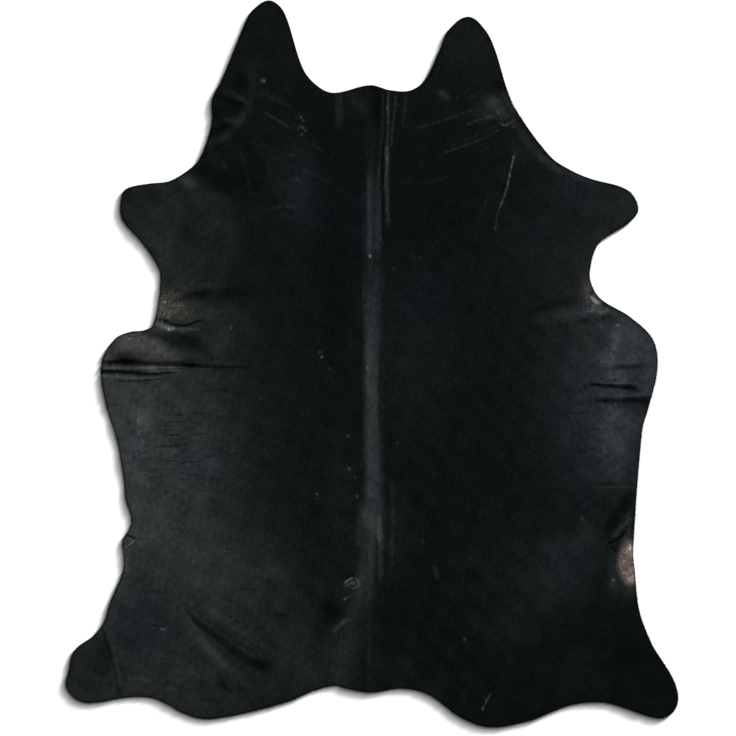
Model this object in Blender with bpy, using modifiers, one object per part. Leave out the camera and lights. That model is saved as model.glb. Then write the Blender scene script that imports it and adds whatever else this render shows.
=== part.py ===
# A black cowhide rug lying on a floor, hair side up: one whole hide, flat but for its creases.
# Metres, +Z up.  The floor is z = 0, the origin lies under the middle of the hide, +Y runs from
# the rump to the neck, and +X is the hide's right side as it is seen from above.

import math
from collections import namedtuple

import bpy
import numpy as np
from mathutils import Vector
from mathutils.geometry import delaunay_2d_cdt, interpolate_bezier

# Driving dimensions
HIDE_LENGTH = 2.18            # neck lobes to rump, along Y; the outline and the folds scale with it
HIDE_THICKNESS = 0.0045       # leather with its short coat lying flat on it
FOLD_HEIGHT_SCALE = 1.0       # 0 lays the hide dead flat
RIM_ROUNDING = 0.0012         # how far the cut edge is rounded over

# Mesh steps
STEPS_PER_EDGE_SPAN = 6       # straight pieces between two points of the outline
GRID_STEP = 0.075             # open leather
FOLD_STEP = 0.03              # along a fold
FOLD_ROWS = (-1.0, -0.62, -0.3, 0.0, 0.3, 0.62, 1.0)     # across a fold, in half widths
CLEAR_OF_RIM = 0.010          # inner points stay this far inside the outline
CLEAR_OF_FOLD_POINT = 0.0035  # and this far from a point of a fold
CLEAR_OF_GRID_POINT = 0.040   # or from one of the grid

# The outline was laid out in centimetres on a hide 217.9 cm long: how far a point is across from
# the spine line, with the left side minus, and how far it is up from the lowest point of the
# rump.  It runs clockwise, seen from above, and the rim is a smooth curve through the points.
EdgePoint = namedtuple("EdgePoint", "across up")

NECK_EDGE = (
    EdgePoint(-37.6, 212.1),      # left neck lobe
    EdgePoint(-35.7, 215.1),
    EdgePoint(-31.2, 217.9),
    EdgePoint(-27.6, 216.1),
    EdgePoint(-25.4, 212.1),
    EdgePoint(-20.5, 197.1),      # down into the neck bay
    EdgePoint(-15.6, 191.7),
    EdgePoint(-11.1, 190.2),
    EdgePoint(-0.6, 192.5),       # the spine's end
    EdgePoint(5.4, 191.0),
    EdgePoint(11.4, 190.9),
    EdgePoint(15.9, 194.1),
    EdgePoint(20.3, 203.1),
    EdgePoint(23.0, 209.1),
    EdgePoint(28.8, 213.0),       # right neck lobe
    EdgePoint(33.9, 209.1),
)

RIGHT_EDGE = (
    EdgePoint(36.9, 203.1),
    EdgePoint(40.5, 191.1),
    EdgePoint(43.1, 185.1),
    EdgePoint(53.4, 171.2),       # shoulder
    EdgePoint(59.4, 167.1),
    EdgePoint(65.4, 164.5),
    EdgePoint(76.5, 161.1),
    EdgePoint(79.8, 155.7),       # fore leg
    EdgePoint(78.0, 152.1),
    EdgePoint(69.0, 146.1),
    EdgePoint(66.9, 143.1),
    EdgePoint(65.6, 138.6),
    EdgePoint(65.4, 134.1),       # armpit
    EdgePoint(68.4, 128.6),
    EdgePoint(77.4, 123.0),
    EdgePoint(84.3, 116.1),
    EdgePoint(85.5, 107.1),       # belly
    EdgePoint(82.7, 95.1),
    EdgePoint(81.0, 89.1),
    EdgePoint(78.3, 53.1),        # flank
    EdgePoint(78.8, 47.1),
    EdgePoint(80.1, 35.1),
    EdgePoint(83.9, 24.9),
    EdgePoint(86.9, 20.1),
)

RUMP_EDGE = (
    EdgePoint(90.3, 14.4),
    EdgePoint(91.8, 8.7),         # right hind leg
    EdgePoint(90.3, 4.5),
    EdgePoint(87.0, 2.8),
    EdgePoint(83.4, 3.1),
    EdgePoint(71.4, 7.1),
    EdgePoint(65.4, 7.5),
    EdgePoint(59.4, 6.6),
    EdgePoint(53.4, 4.4),
    EdgePoint(47.4, 2.0),
    EdgePoint(35.4, 0.0),         # right buttock
    EdgePoint(26.4, 3.1),
    EdgePoint(17.4, 9.6),
    EdgePoint(9.0, 11.6),
    EdgePoint(-0.6, 10.4),        # tail
    EdgePoint(-8.1, 11.7),
    EdgePoint(-11.1, 12.5),
    EdgePoint(-18.6, 10.6),
    EdgePoint(-24.6, 7.9),
    EdgePoint(-36.6, 4.6),
    EdgePoint(-48.0, 2.5),        # left buttock
    EdgePoint(-52.8, 2.9),
    EdgePoint(-57.6, 4.7),
    EdgePoint(-61.8, 7.1),
    EdgePoint(-66.9, 9.0),
    EdgePoint(-72.9, 9.0),
    EdgePoint(-84.3, 7.3),
    EdgePoint(-88.2, 8.1),
    EdgePoint(-90.9, 10.5),       # left hind leg
)

LEFT_EDGE = (
    EdgePoint(-91.8, 13.2),
    EdgePoint(-91.2, 15.6),
    EdgePoint(-89.1, 23.1),
    EdgePoint(-83.1, 27.8),
    EdgePoint(-80.0, 32.1),
    EdgePoint(-78.5, 37.2),
    EdgePoint(-75.0, 45.6),
    EdgePoint(-74.3, 49.2),
    EdgePoint(-74.6, 56.1),
    EdgePoint(-72.9, 59.1),
    EdgePoint(-72.0, 62.4),       # nick in the flank
    EdgePoint(-73.7, 68.1),
    EdgePoint(-74.3, 74.1),
    EdgePoint(-76.4, 86.1),
    EdgePoint(-80.0, 98.1),
    EdgePoint(-81.0, 109.2),      # belly
    EdgePoint(-77.1, 116.4),
    EdgePoint(-72.6, 118.5),
    EdgePoint(-68.1, 119.1),
    EdgePoint(-65.4, 120.9),
    EdgePoint(-63.3, 135.0),      # armpit
    EdgePoint(-65.1, 139.8),
    EdgePoint(-69.6, 146.0),
    EdgePoint(-75.0, 152.7),
    EdgePoint(-74.7, 160.2),      # fore leg
    EdgePoint(-72.6, 161.9),
    EdgePoint(-66.6, 163.0),
    EdgePoint(-60.6, 163.8),
    EdgePoint(-54.6, 167.4),      # shoulder
    EdgePoint(-51.6, 170.4),
    EdgePoint(-49.3, 176.1),
    EdgePoint(-47.9, 182.1),
    EdgePoint(-47.9, 188.1),
    EdgePoint(-45.0, 194.1),
)

OUTLINE = NECK_EDGE + RIGHT_EDGE + RUMP_EDGE + LEFT_EDGE

# The folds, in the outline's centimetres: each is a soft ridge from start to end, and its height
# is in real millimetres.  It fades out over half its length at its end, and at its start too,
# unless it starts outside the outline and so runs on to the rim.  The rim itself lies flat: a
# fold has its full height only this far inside it.
MILLIMETRE = 0.001
FADE_SHARE = 0.5
FULL_HEIGHT_INSIDE = 0.055
Fold = namedtuple("Fold", "name start end half_width height from_rim")

FOLDS = (
    Fold("neck wrinkle, high", (-50.0, 191.0), (-36.6, 186.9), 2.0, 5.0, True),
    Fold("neck wrinkle, middle", (-50.5, 184.0), (-39.0, 180.1), 1.8, 5.0, True),
    Fold("neck wrinkle, low", (-52.0, 171.2), (-42.0, 177.9), 2.0, 5.0, True),
    Fold("left armpit fold, high", (-65.0, 131.2), (-42.9, 132.3), 1.9, 5.0, True),
    Fold("left armpit fold, low", (-67.0, 123.4), (-50.0, 122.4), 1.6, 5.0, True),
    Fold("left belly corner", (-79.0, 114.6), (-60.0, 115.2), 3.0, 7.0, False),
    Fold("left belly crease, long", (-84.0, 111.4), (-38.0, 108.2), 1.6, 8.0, True),
    Fold("left belly crease, short", (-84.0, 108.3), (-58.0, 106.5), 1.4, 7.0, True),
    Fold("left belly crease, faint", (-79.5, 104.9), (-59.0, 104.4), 1.3, 4.0, False),
    Fold("left flank pucker", (-77.0, 52.6), (-68.0, 57.8), 1.3, 5.0, True),
    Fold("left haunch trough, upper side", (-56.5, 39.6), (-24.5, 17.5), 2.7, 10.0, False),
    Fold("left haunch trough, lower side", (-60.0, 32.6), (-34.5, 8.5), 3.0, 8.0, False),
    Fold("left hind leg bend", (-74.9, 5.0), (-80.4, 34.0), 2.3, 6.0, True),
    Fold("right armpit swell", (74.0, 126.4), (44.0, 120.5), 3.2, 6.0, True),
    Fold("right belly crease, faint", (83.0, 108.9), (64.0, 108.9), 1.6, 4.0, False),
    Fold("right belly crease, upper", (81.5, 102.1), (61.0, 103.7), 1.6, 8.0, False),
    Fold("right belly crease, lower", (88.0, 99.4), (63.0, 99.0), 1.6, 7.0, True),
    Fold("right flank pucker", (82.5, 71.3), (70.5, 51.9), 2.4, 7.0, True),
)


def drawing_scale():
    """Metres to one centimetre of the drawing, so that the hide comes out HIDE_LENGTH long."""
    ups = [point.up for point in OUTLINE]
    return HIDE_LENGTH / (max(ups) - min(ups))


def in_frame(drawn):
    """Drawn points in metres, from the middle of the outline's box."""
    outline = np.array(OUTLINE)
    middle = (outline.min(axis=0) + outline.max(axis=0)) / 2
    return (np.array(drawn) - middle) * drawing_scale()


def smooth_closed_edge(points):
    """Bezier spans through the points, each handle a third of its span along the tangent."""
    knots = [Vector((x, y)) for x, y in points]
    count = len(knots)
    tangents = [(knots[(i + 1) % count] - knots[i - 1]).normalized() for i in range(count)]
    edge = []
    for i in range(count):
        after = (i + 1) % count
        reach = (knots[after] - knots[i]).length / 3
        span = interpolate_bezier(
            knots[i],
            knots[i] + tangents[i] * reach,
            knots[after] - tangents[after] * reach,
            knots[after],
            STEPS_PER_EDGE_SPAN + 1,
        )
        edge.extend(span[:-1])
    return np.array(edge)


def smooth_ramp(value):
    """0 below 0, 1 above 1, and a smooth step between them."""
    ramp = np.clip(value, 0, 1)
    return ramp * ramp * (3 - 2 * ramp)


def ridge(points, fold):
    """Height of one fold: a raised cosine across it, faded by a smooth ramp at its ends."""
    start, end = in_frame((fold.start, fold.end))
    run = end - start
    length = np.hypot(*run)
    along_axis = run / length
    across_axis = np.array((-along_axis[1], along_axis[0]))
    along = (points - start) @ along_axis / length
    across = np.abs((points - start) @ across_axis) / (fold.half_width * drawing_scale())
    profile = 0.5 + 0.5 * np.cos(math.pi * np.clip(across, 0, 1))
    to_nearer_end = 1 - along if fold.from_rim else np.minimum(along, 1 - along)
    fade = smooth_ramp(to_nearer_end / FADE_SHARE)
    return fold.height * MILLIMETRE * FOLD_HEIGHT_SCALE * profile * fade


def highest_ridge(points):
    """Height of the folds: where two meet, the higher one shows."""
    return np.max([ridge(points, fold) for fold in FOLDS], axis=0)


def distance_to_edge(points, edge):
    """Shortest distance from each point to the closed edge."""
    start = edge[None, :, :]
    run = np.roll(edge, -1, axis=0)[None, :, :] - start
    offset = points[:, None, :] - start
    along = np.clip((offset * run).sum(axis=2) / (run * run).sum(axis=2), 0, 1)
    return np.linalg.norm(offset - run * along[:, :, None], axis=2).min(axis=1)


def inside_edge(points, edge):
    """True where a line to +X crosses the closed edge an odd number of times."""
    x, y = points[:, 0, None], points[:, 1, None]
    x0, y0 = edge[None, :, 0], edge[None, :, 1]
    x1, y1 = np.roll(x0, -1, axis=1), np.roll(y0, -1, axis=1)
    spans = (y0 > y) != (y1 > y)
    rise = np.where(spans, y1 - y0, 1.0)
    crossing = x0 + (y - y0) * (x1 - x0) / rise
    return ((spans & (crossing > x)).sum(axis=1) % 2) == 1


def fold_rows(fold):
    """Rows of points along a fold, from one foot of the ridge over its crest to the other."""
    start, end = in_frame((fold.start, fold.end))
    run = end - start
    length = np.hypot(*run)
    across = np.array((-run[1], run[0])) / length * fold.half_width * drawing_scale()
    stations = np.linspace(0, 1, round(length / FOLD_STEP) + 1)
    return [start + run * stations[:, None] + across * offset for offset in FOLD_ROWS]


def grid_rows():
    """Rows of a staggered grid over the hide's box, for the open leather between the folds."""
    half = HIDE_LENGTH / 2
    columns = np.arange(-half, half, GRID_STEP)
    rows = []
    for number, y in enumerate(np.arange(-half, half, GRID_STEP * math.sqrt(3) / 2)):
        shift = GRID_STEP / 2 * (number % 2)
        rows.append(np.column_stack((columns + shift, np.full(len(columns), y))))
    return rows


class Plan:
    """The hide's points seen from above, and the lines along the folds that the mesh must keep."""

    def __init__(self, edge):
        self.edge = edge
        self.points = edge.copy()
        self.lines = []

    def add_row(self, row, wanted, clear, keep_line):
        """Add a row's wanted points that fit, and a line between each two that stay neighbours."""
        clear_of_rim = distance_to_edge(row, self.edge) > CLEAR_OF_RIM
        fits = wanted & clear_of_rim & inside_edge(row, self.edge)
        before = None
        for point, fit in zip(row, fits):
            if not fit or np.hypot(*(self.points - point).T).min() < clear:
                before = None
                continue
            index = len(self.points)
            self.points = np.vstack((self.points, point))
            if keep_line and before is not None:
                self.lines.append((before, index))
            before = index


def lay_out_plan():
    """The outline, then each fold where it is the highest, then the grid where it has room."""
    plan = Plan(smooth_closed_edge(in_frame(OUTLINE)))
    for fold in FOLDS:
        for row in fold_rows(fold):
            highest = ridge(row, fold) >= highest_ridge(row)
            plan.add_row(row, highest, CLEAR_OF_FOLD_POINT, keep_line=True)
    for row in grid_rows():
        everywhere = np.full(len(row), True)
        plan.add_row(row, everywhere, CLEAR_OF_GRID_POINT, keep_line=False)
    return plan


def hide_surface():
    """The underside of the hide as an open, triangulated surface on its folds."""
    plan = lay_out_plan()
    rim_loop = list(range(len(plan.edge)))
    flat = [Vector(point) for point in plan.points]
    inside_only = 1
    tolerance = 1e-7
    corners, _, faces, *_ = delaunay_2d_cdt(flat, plan.lines, [rim_loop], inside_only, tolerance)
    plan_xy = np.array([tuple(corner) for corner in corners])
    flat_rim = smooth_ramp(distance_to_edge(plan_xy, plan.edge) / FULL_HEIGHT_INSIDE)
    heights = highest_ridge(plan_xy) * flat_rim
    mesh = bpy.data.meshes.new("hide")
    mesh.from_pydata(np.column_stack((plan_xy, heights)).tolist(), [], faces)
    mesh.validate()
    if sum(polygon.normal.z for polygon in mesh.polygons) < 0:
        mesh.flip_normals()
    return mesh


def black_cowhair():
    """Short, glossy black coat."""
    material = bpy.data.materials.new("black_cowhair")
    material.use_nodes = True
    shader = material.node_tree.nodes["Principled BSDF"]
    shader.inputs["Base Color"].default_value = (0.012, 0.013, 0.014, 1.0)
    shader.inputs["Roughness"].default_value = 0.55
    shader.inputs["Metallic"].default_value = 0.0
    return material


def build_hide(collection):
    """The whole hide: one sheet of even thickness with a rounded rim."""
    hide = bpy.data.objects.new("hide", hide_surface())
    collection.objects.link(hide)
    hide.data.materials.append(black_cowhair())
    sheet = hide.modifiers.new("leather", "SOLIDIFY")
    sheet.thickness = HIDE_THICKNESS
    sheet.offset = 1.0
    rim = hide.modifiers.new("rim", "BEVEL")
    rim.width = RIM_ROUNDING
    rim.segments = 1
    rim.limit_method = "ANGLE"
    rim.angle_limit = math.radians(60)
    hide.data.shade_smooth()
    hide.data.set_sharp_from_angle(angle=math.radians(50))
    return hide


def clear_scene():
    for old in list(bpy.data.objects):
        bpy.data.objects.remove(old, do_unlink=True)


def main():
    clear_scene()
    rug = bpy.data.collections.new("cowhide_rug")
    bpy.context.scene.collection.children.link(rug)
    build_hide(rug)


main()
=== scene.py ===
import math

import bpy
import numpy as np
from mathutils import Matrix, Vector
from mathutils.geometry import delaunay_2d_cdt, interpolate_bezier


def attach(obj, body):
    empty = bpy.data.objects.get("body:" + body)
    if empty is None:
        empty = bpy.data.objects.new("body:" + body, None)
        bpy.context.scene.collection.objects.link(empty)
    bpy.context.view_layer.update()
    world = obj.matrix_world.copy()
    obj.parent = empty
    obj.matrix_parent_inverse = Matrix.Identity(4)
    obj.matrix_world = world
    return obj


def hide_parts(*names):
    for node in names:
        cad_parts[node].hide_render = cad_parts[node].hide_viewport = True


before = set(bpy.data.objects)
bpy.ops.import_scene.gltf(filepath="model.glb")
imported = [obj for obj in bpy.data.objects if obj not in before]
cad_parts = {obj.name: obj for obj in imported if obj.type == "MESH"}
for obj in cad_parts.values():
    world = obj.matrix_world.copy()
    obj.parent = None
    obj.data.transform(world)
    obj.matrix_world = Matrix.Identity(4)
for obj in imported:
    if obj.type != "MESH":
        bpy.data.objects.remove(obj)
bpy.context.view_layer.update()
mm = 0.001
rng = np.random.default_rng(41)

# the hide is drawn in centimetres, across from the spine and up from below the rump
drawing = {"middle": (0, 108.95), "metre": 0.0100046}

outline = (
    (-37.6, 212.1), (-35.7, 215.1), (-31.2, 217.9), (-27.6, 216.1), (-25.4, 212.1), (-20.5, 197.1),
    (-15.6, 191.7), (-11.1, 190.2), (-0.6, 192.5), (5.4, 191), (11.4, 190.9), (15.9, 194.1), (20.3, 203.1),
    (23, 209.1), (28.8, 213), (33.9, 209.1), (36.9, 203.1), (40.5, 191.1), (43.1, 185.1), (53.4, 171.2),
    (59.4, 167.1), (65.4, 164.5), (76.5, 161.1), (79.8, 155.7), (78, 152.1), (69, 146.1), (66.9, 143.1),
    (65.6, 138.6), (65.4, 134.1), (68.4, 128.6), (77.4, 123), (84.3, 116.1), (85.5, 107.1), (82.7, 95.1),
    (81, 89.1), (78.3, 53.1), (78.8, 47.1), (80.1, 35.1), (83.9, 24.9), (86.9, 20.1), (90.3, 14.4),
    (91.8, 8.7), (90.3, 4.5), (87, 2.8), (83.4, 3.1), (71.4, 7.1), (65.4, 7.5), (59.4, 6.6), (53.4, 4.4),
    (47.4, 2), (35.4, 0), (26.4, 3.1), (17.4, 9.6), (9, 11.6), (-0.6, 10.4), (-8.1, 11.7), (-11.1, 12.5),
    (-18.6, 10.6), (-24.6, 7.9), (-36.6, 4.6), (-48, 2.5), (-52.8, 2.9), (-57.6, 4.7), (-61.8, 7.1),
    (-66.9, 9), (-72.9, 9), (-84.3, 7.3), (-88.2, 8.1), (-90.9, 10.5), (-91.8, 13.2), (-91.2, 15.6),
    (-89.1, 23.1), (-83.1, 27.8), (-80, 32.1), (-78.5, 37.2), (-75, 45.6), (-74.3, 49.2), (-74.6, 56.1),
    (-72.9, 59.1), (-72, 62.4), (-73.7, 68.1), (-74.3, 74.1), (-76.4, 86.1), (-80, 98.1), (-81, 109.2),
    (-77.1, 116.4), (-72.6, 118.5), (-68.1, 119.1), (-65.4, 120.9), (-63.3, 135), (-65.1, 139.8),
    (-69.6, 146), (-75, 152.7), (-74.7, 160.2), (-72.6, 161.9), (-66.6, 163), (-60.6, 163.8),
    (-54.6, 167.4), (-51.6, 170.4), (-49.3, 176.1), (-47.9, 182.1), (-47.9, 188.1), (-45, 194.1),
)

rimShape = {
    "spanSteps": 12,        # points to a span of the outline
    "points": 1760,
    "fieldPoints": 880,
    "cell": 0.006,          # of the distance grid, in metres
    "margin": 0.06,
}


def placed(points):
    # drawn centimetres less the drawing's middle, times the metres in one of them
    return (np.array(points, float) - drawing["middle"]) * drawing["metre"]


def smoothRamp(t):
    # 3t^2 - 2t^3 between 0 and 1
    t = np.clip(t, 0.0, 1.0)
    return t * t * (3 - 2 * t)


planeWaves = {"count": 9, "sizes": (0.7, 1.5), "peak": 3.4}


def softWaves(points, size, seed):
    # the sum of some plane waves about `size` metres long, in scattered directions, near -1 to 1
    draw = np.random.default_rng(seed)
    count = planeWaves["count"]
    turn = draw.uniform(0, math.tau, count)
    pitch = math.tau / (size * draw.uniform(*planeWaves["sizes"], count))
    phase = draw.uniform(0, math.tau, count)
    run = points[:, :1] * (np.cos(turn) * pitch) + points[:, 1:2] * (np.sin(turn) * pitch)
    return np.sin(run + phase).sum(axis=1) / planeWaves["peak"]


def waveSum(points, terms):
    # soft waves of each term's size and seed, times its share
    return sum(share * softWaves(points, size, seed) for size, seed, share in terms)


def rimLoop(spanSteps):
    # a closed Bezier curve through the outline, each handle a third of its span along the tangent
    knots = [Vector(p) for p in placed(outline)]
    count = len(knots)
    tangents = [(knots[(i + 1) % count] - knots[i - 1]).normalized() for i in range(count)]
    loop = []
    for i in range(count):
        after = (i + 1) % count
        reach = (knots[after] - knots[i]).length / 3
        start, end = knots[i] + tangents[i] * reach, knots[after] - tangents[after] * reach
        loop += interpolate_bezier(knots[i], start, end, knots[after], spanSteps + 1)[:-1]
    return np.array(loop)


def evenLoop(loop, count):
    # the same loop at `count` points a like distance apart
    closed = np.vstack((loop, loop[:1]))
    walked = np.concatenate(([0.0], np.cumsum(np.hypot(*np.diff(closed, axis=0).T))))
    at = np.arange(count) / count * walked[-1]
    return np.column_stack((np.interp(at, walked, closed[:, 0]), np.interp(at, walked, closed[:, 1])))


def inwardNormals(loop):
    # the loop runs clockwise, so the hide lies to the right of its tangent
    tangent = np.roll(loop, -1, axis=0) - np.roll(loop, 1, axis=0)
    tangent /= np.hypot(*tangent.T)[:, None]
    return np.column_stack((tangent[:, 1], -tangent[:, 0]))


class RimField:
    # signed distance to the rim on a grid, positive on the hide, read between its cells

    def __init__(self, loop):
        self.cell = rimShape["cell"]
        self.low = loop.min(axis=0) - rimShape["margin"]
        high = loop.max(axis=0) + rimShape["margin"]
        columns, rows = np.ceil((high - self.low) / self.cell).astype(int) + 1
        x = self.low[0] + np.arange(columns) * self.cell
        self.grid = np.array([self.row(loop, x, self.low[1] + j * self.cell) for j in range(rows)])

    def row(self, loop, x, y):
        # nearest point of every rim segment, and an odd count of rim crossings to +X means inside
        start, run = loop, np.roll(loop, -1, axis=0) - loop
        dx, dy = x[:, None] - start[:, 0], y - start[:, 1]
        along = np.clip((dx * run[:, 0] + dy * run[:, 1]) / (run ** 2).sum(axis=1), 0, 1)
        away = np.hypot(dx - along * run[:, 0], dy - along * run[:, 1]).min(axis=1)
        spans = (start[:, 1] > y) != (start[:, 1] + run[:, 1] > y)
        crossing = start[spans, 0] + (y - start[spans, 1]) * run[spans, 0] / run[spans, 1]
        inside = (crossing > x[:, None]).sum(axis=1) % 2 == 1
        return np.where(inside, away, -away)

    def depth(self, points):
        # the four cells round a point, each by its nearness
        at = (points - self.low) / self.cell
        most = np.array(self.grid.shape)[::-1] - 2
        cell = np.clip(np.floor(at), 0, most).astype(int)
        fx, fy = np.clip(at - cell, 0, 1).T
        i, j = cell.T
        g = self.grid
        near = g[j, i] * (1 - fx) + g[j, i + 1] * fx
        far = g[j + 1, i] * (1 - fx) + g[j + 1, i + 1] * fx
        return near * (1 - fy) + far * fy


drawnRim = rimLoop(rimShape["spanSteps"])
rim = evenLoop(drawnRim, rimShape["points"])
rimField = RimField(evenLoop(drawnRim, rimShape["fieldPoints"]))
print("rim laid out:", len(rim), "points")


# start, end, half width in cm, height in mm, and whether it is full height from its start, at the rim
folds = (
    ((-50, 191), (-36.6, 186.9), 2, 5, True),  # neck wrinkle, high
    ((-50.5, 184), (-39, 180.1), 1.8, 5, True),  # neck wrinkle, middle
    ((-52, 171.2), (-42, 177.9), 2, 5, True),  # neck wrinkle, low
    ((-65, 131.2), (-42.9, 132.3), 1.9, 5, True),  # left armpit fold, high
    ((-67, 123.4), (-50, 122.4), 1.6, 5, True),  # left armpit fold, low
    ((-79, 114.6), (-60, 115.2), 3, 7, False),  # left belly corner
    ((-84, 111.4), (-38, 108.2), 1.6, 8, True),  # left belly crease, long
    ((-84, 108.3), (-58, 106.5), 1.4, 7, True),  # left belly crease, short
    ((-79.5, 104.9), (-59, 104.4), 1.3, 4, False),  # left belly crease, faint
    ((-77, 52.6), (-68, 57.8), 1.3, 5, True),  # left flank pucker
    ((-56.5, 39.6), (-24.5, 17.5), 2.7, 10, False),  # left haunch trough, upper side
    ((-60, 32.6), (-34.5, 8.5), 3, 8, False),  # left haunch trough, lower side
    ((-74.9, 5), (-80.4, 34), 2.3, 6, True),  # left hind leg bend
    ((74, 126.4), (44, 120.5), 3.2, 6, True),  # right armpit swell
    ((83, 108.9), (64, 108.9), 1.6, 4, False),  # right belly crease, faint
    ((81.5, 102.1), (61, 103.7), 1.6, 8, False),  # right belly crease, upper
    ((88, 99.4), (63, 99), 1.6, 7, True),  # right belly crease, lower
    ((82.5, 71.3), (70.5, 51.9), 2.4, 7, True),  # right flank pucker
)

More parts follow.
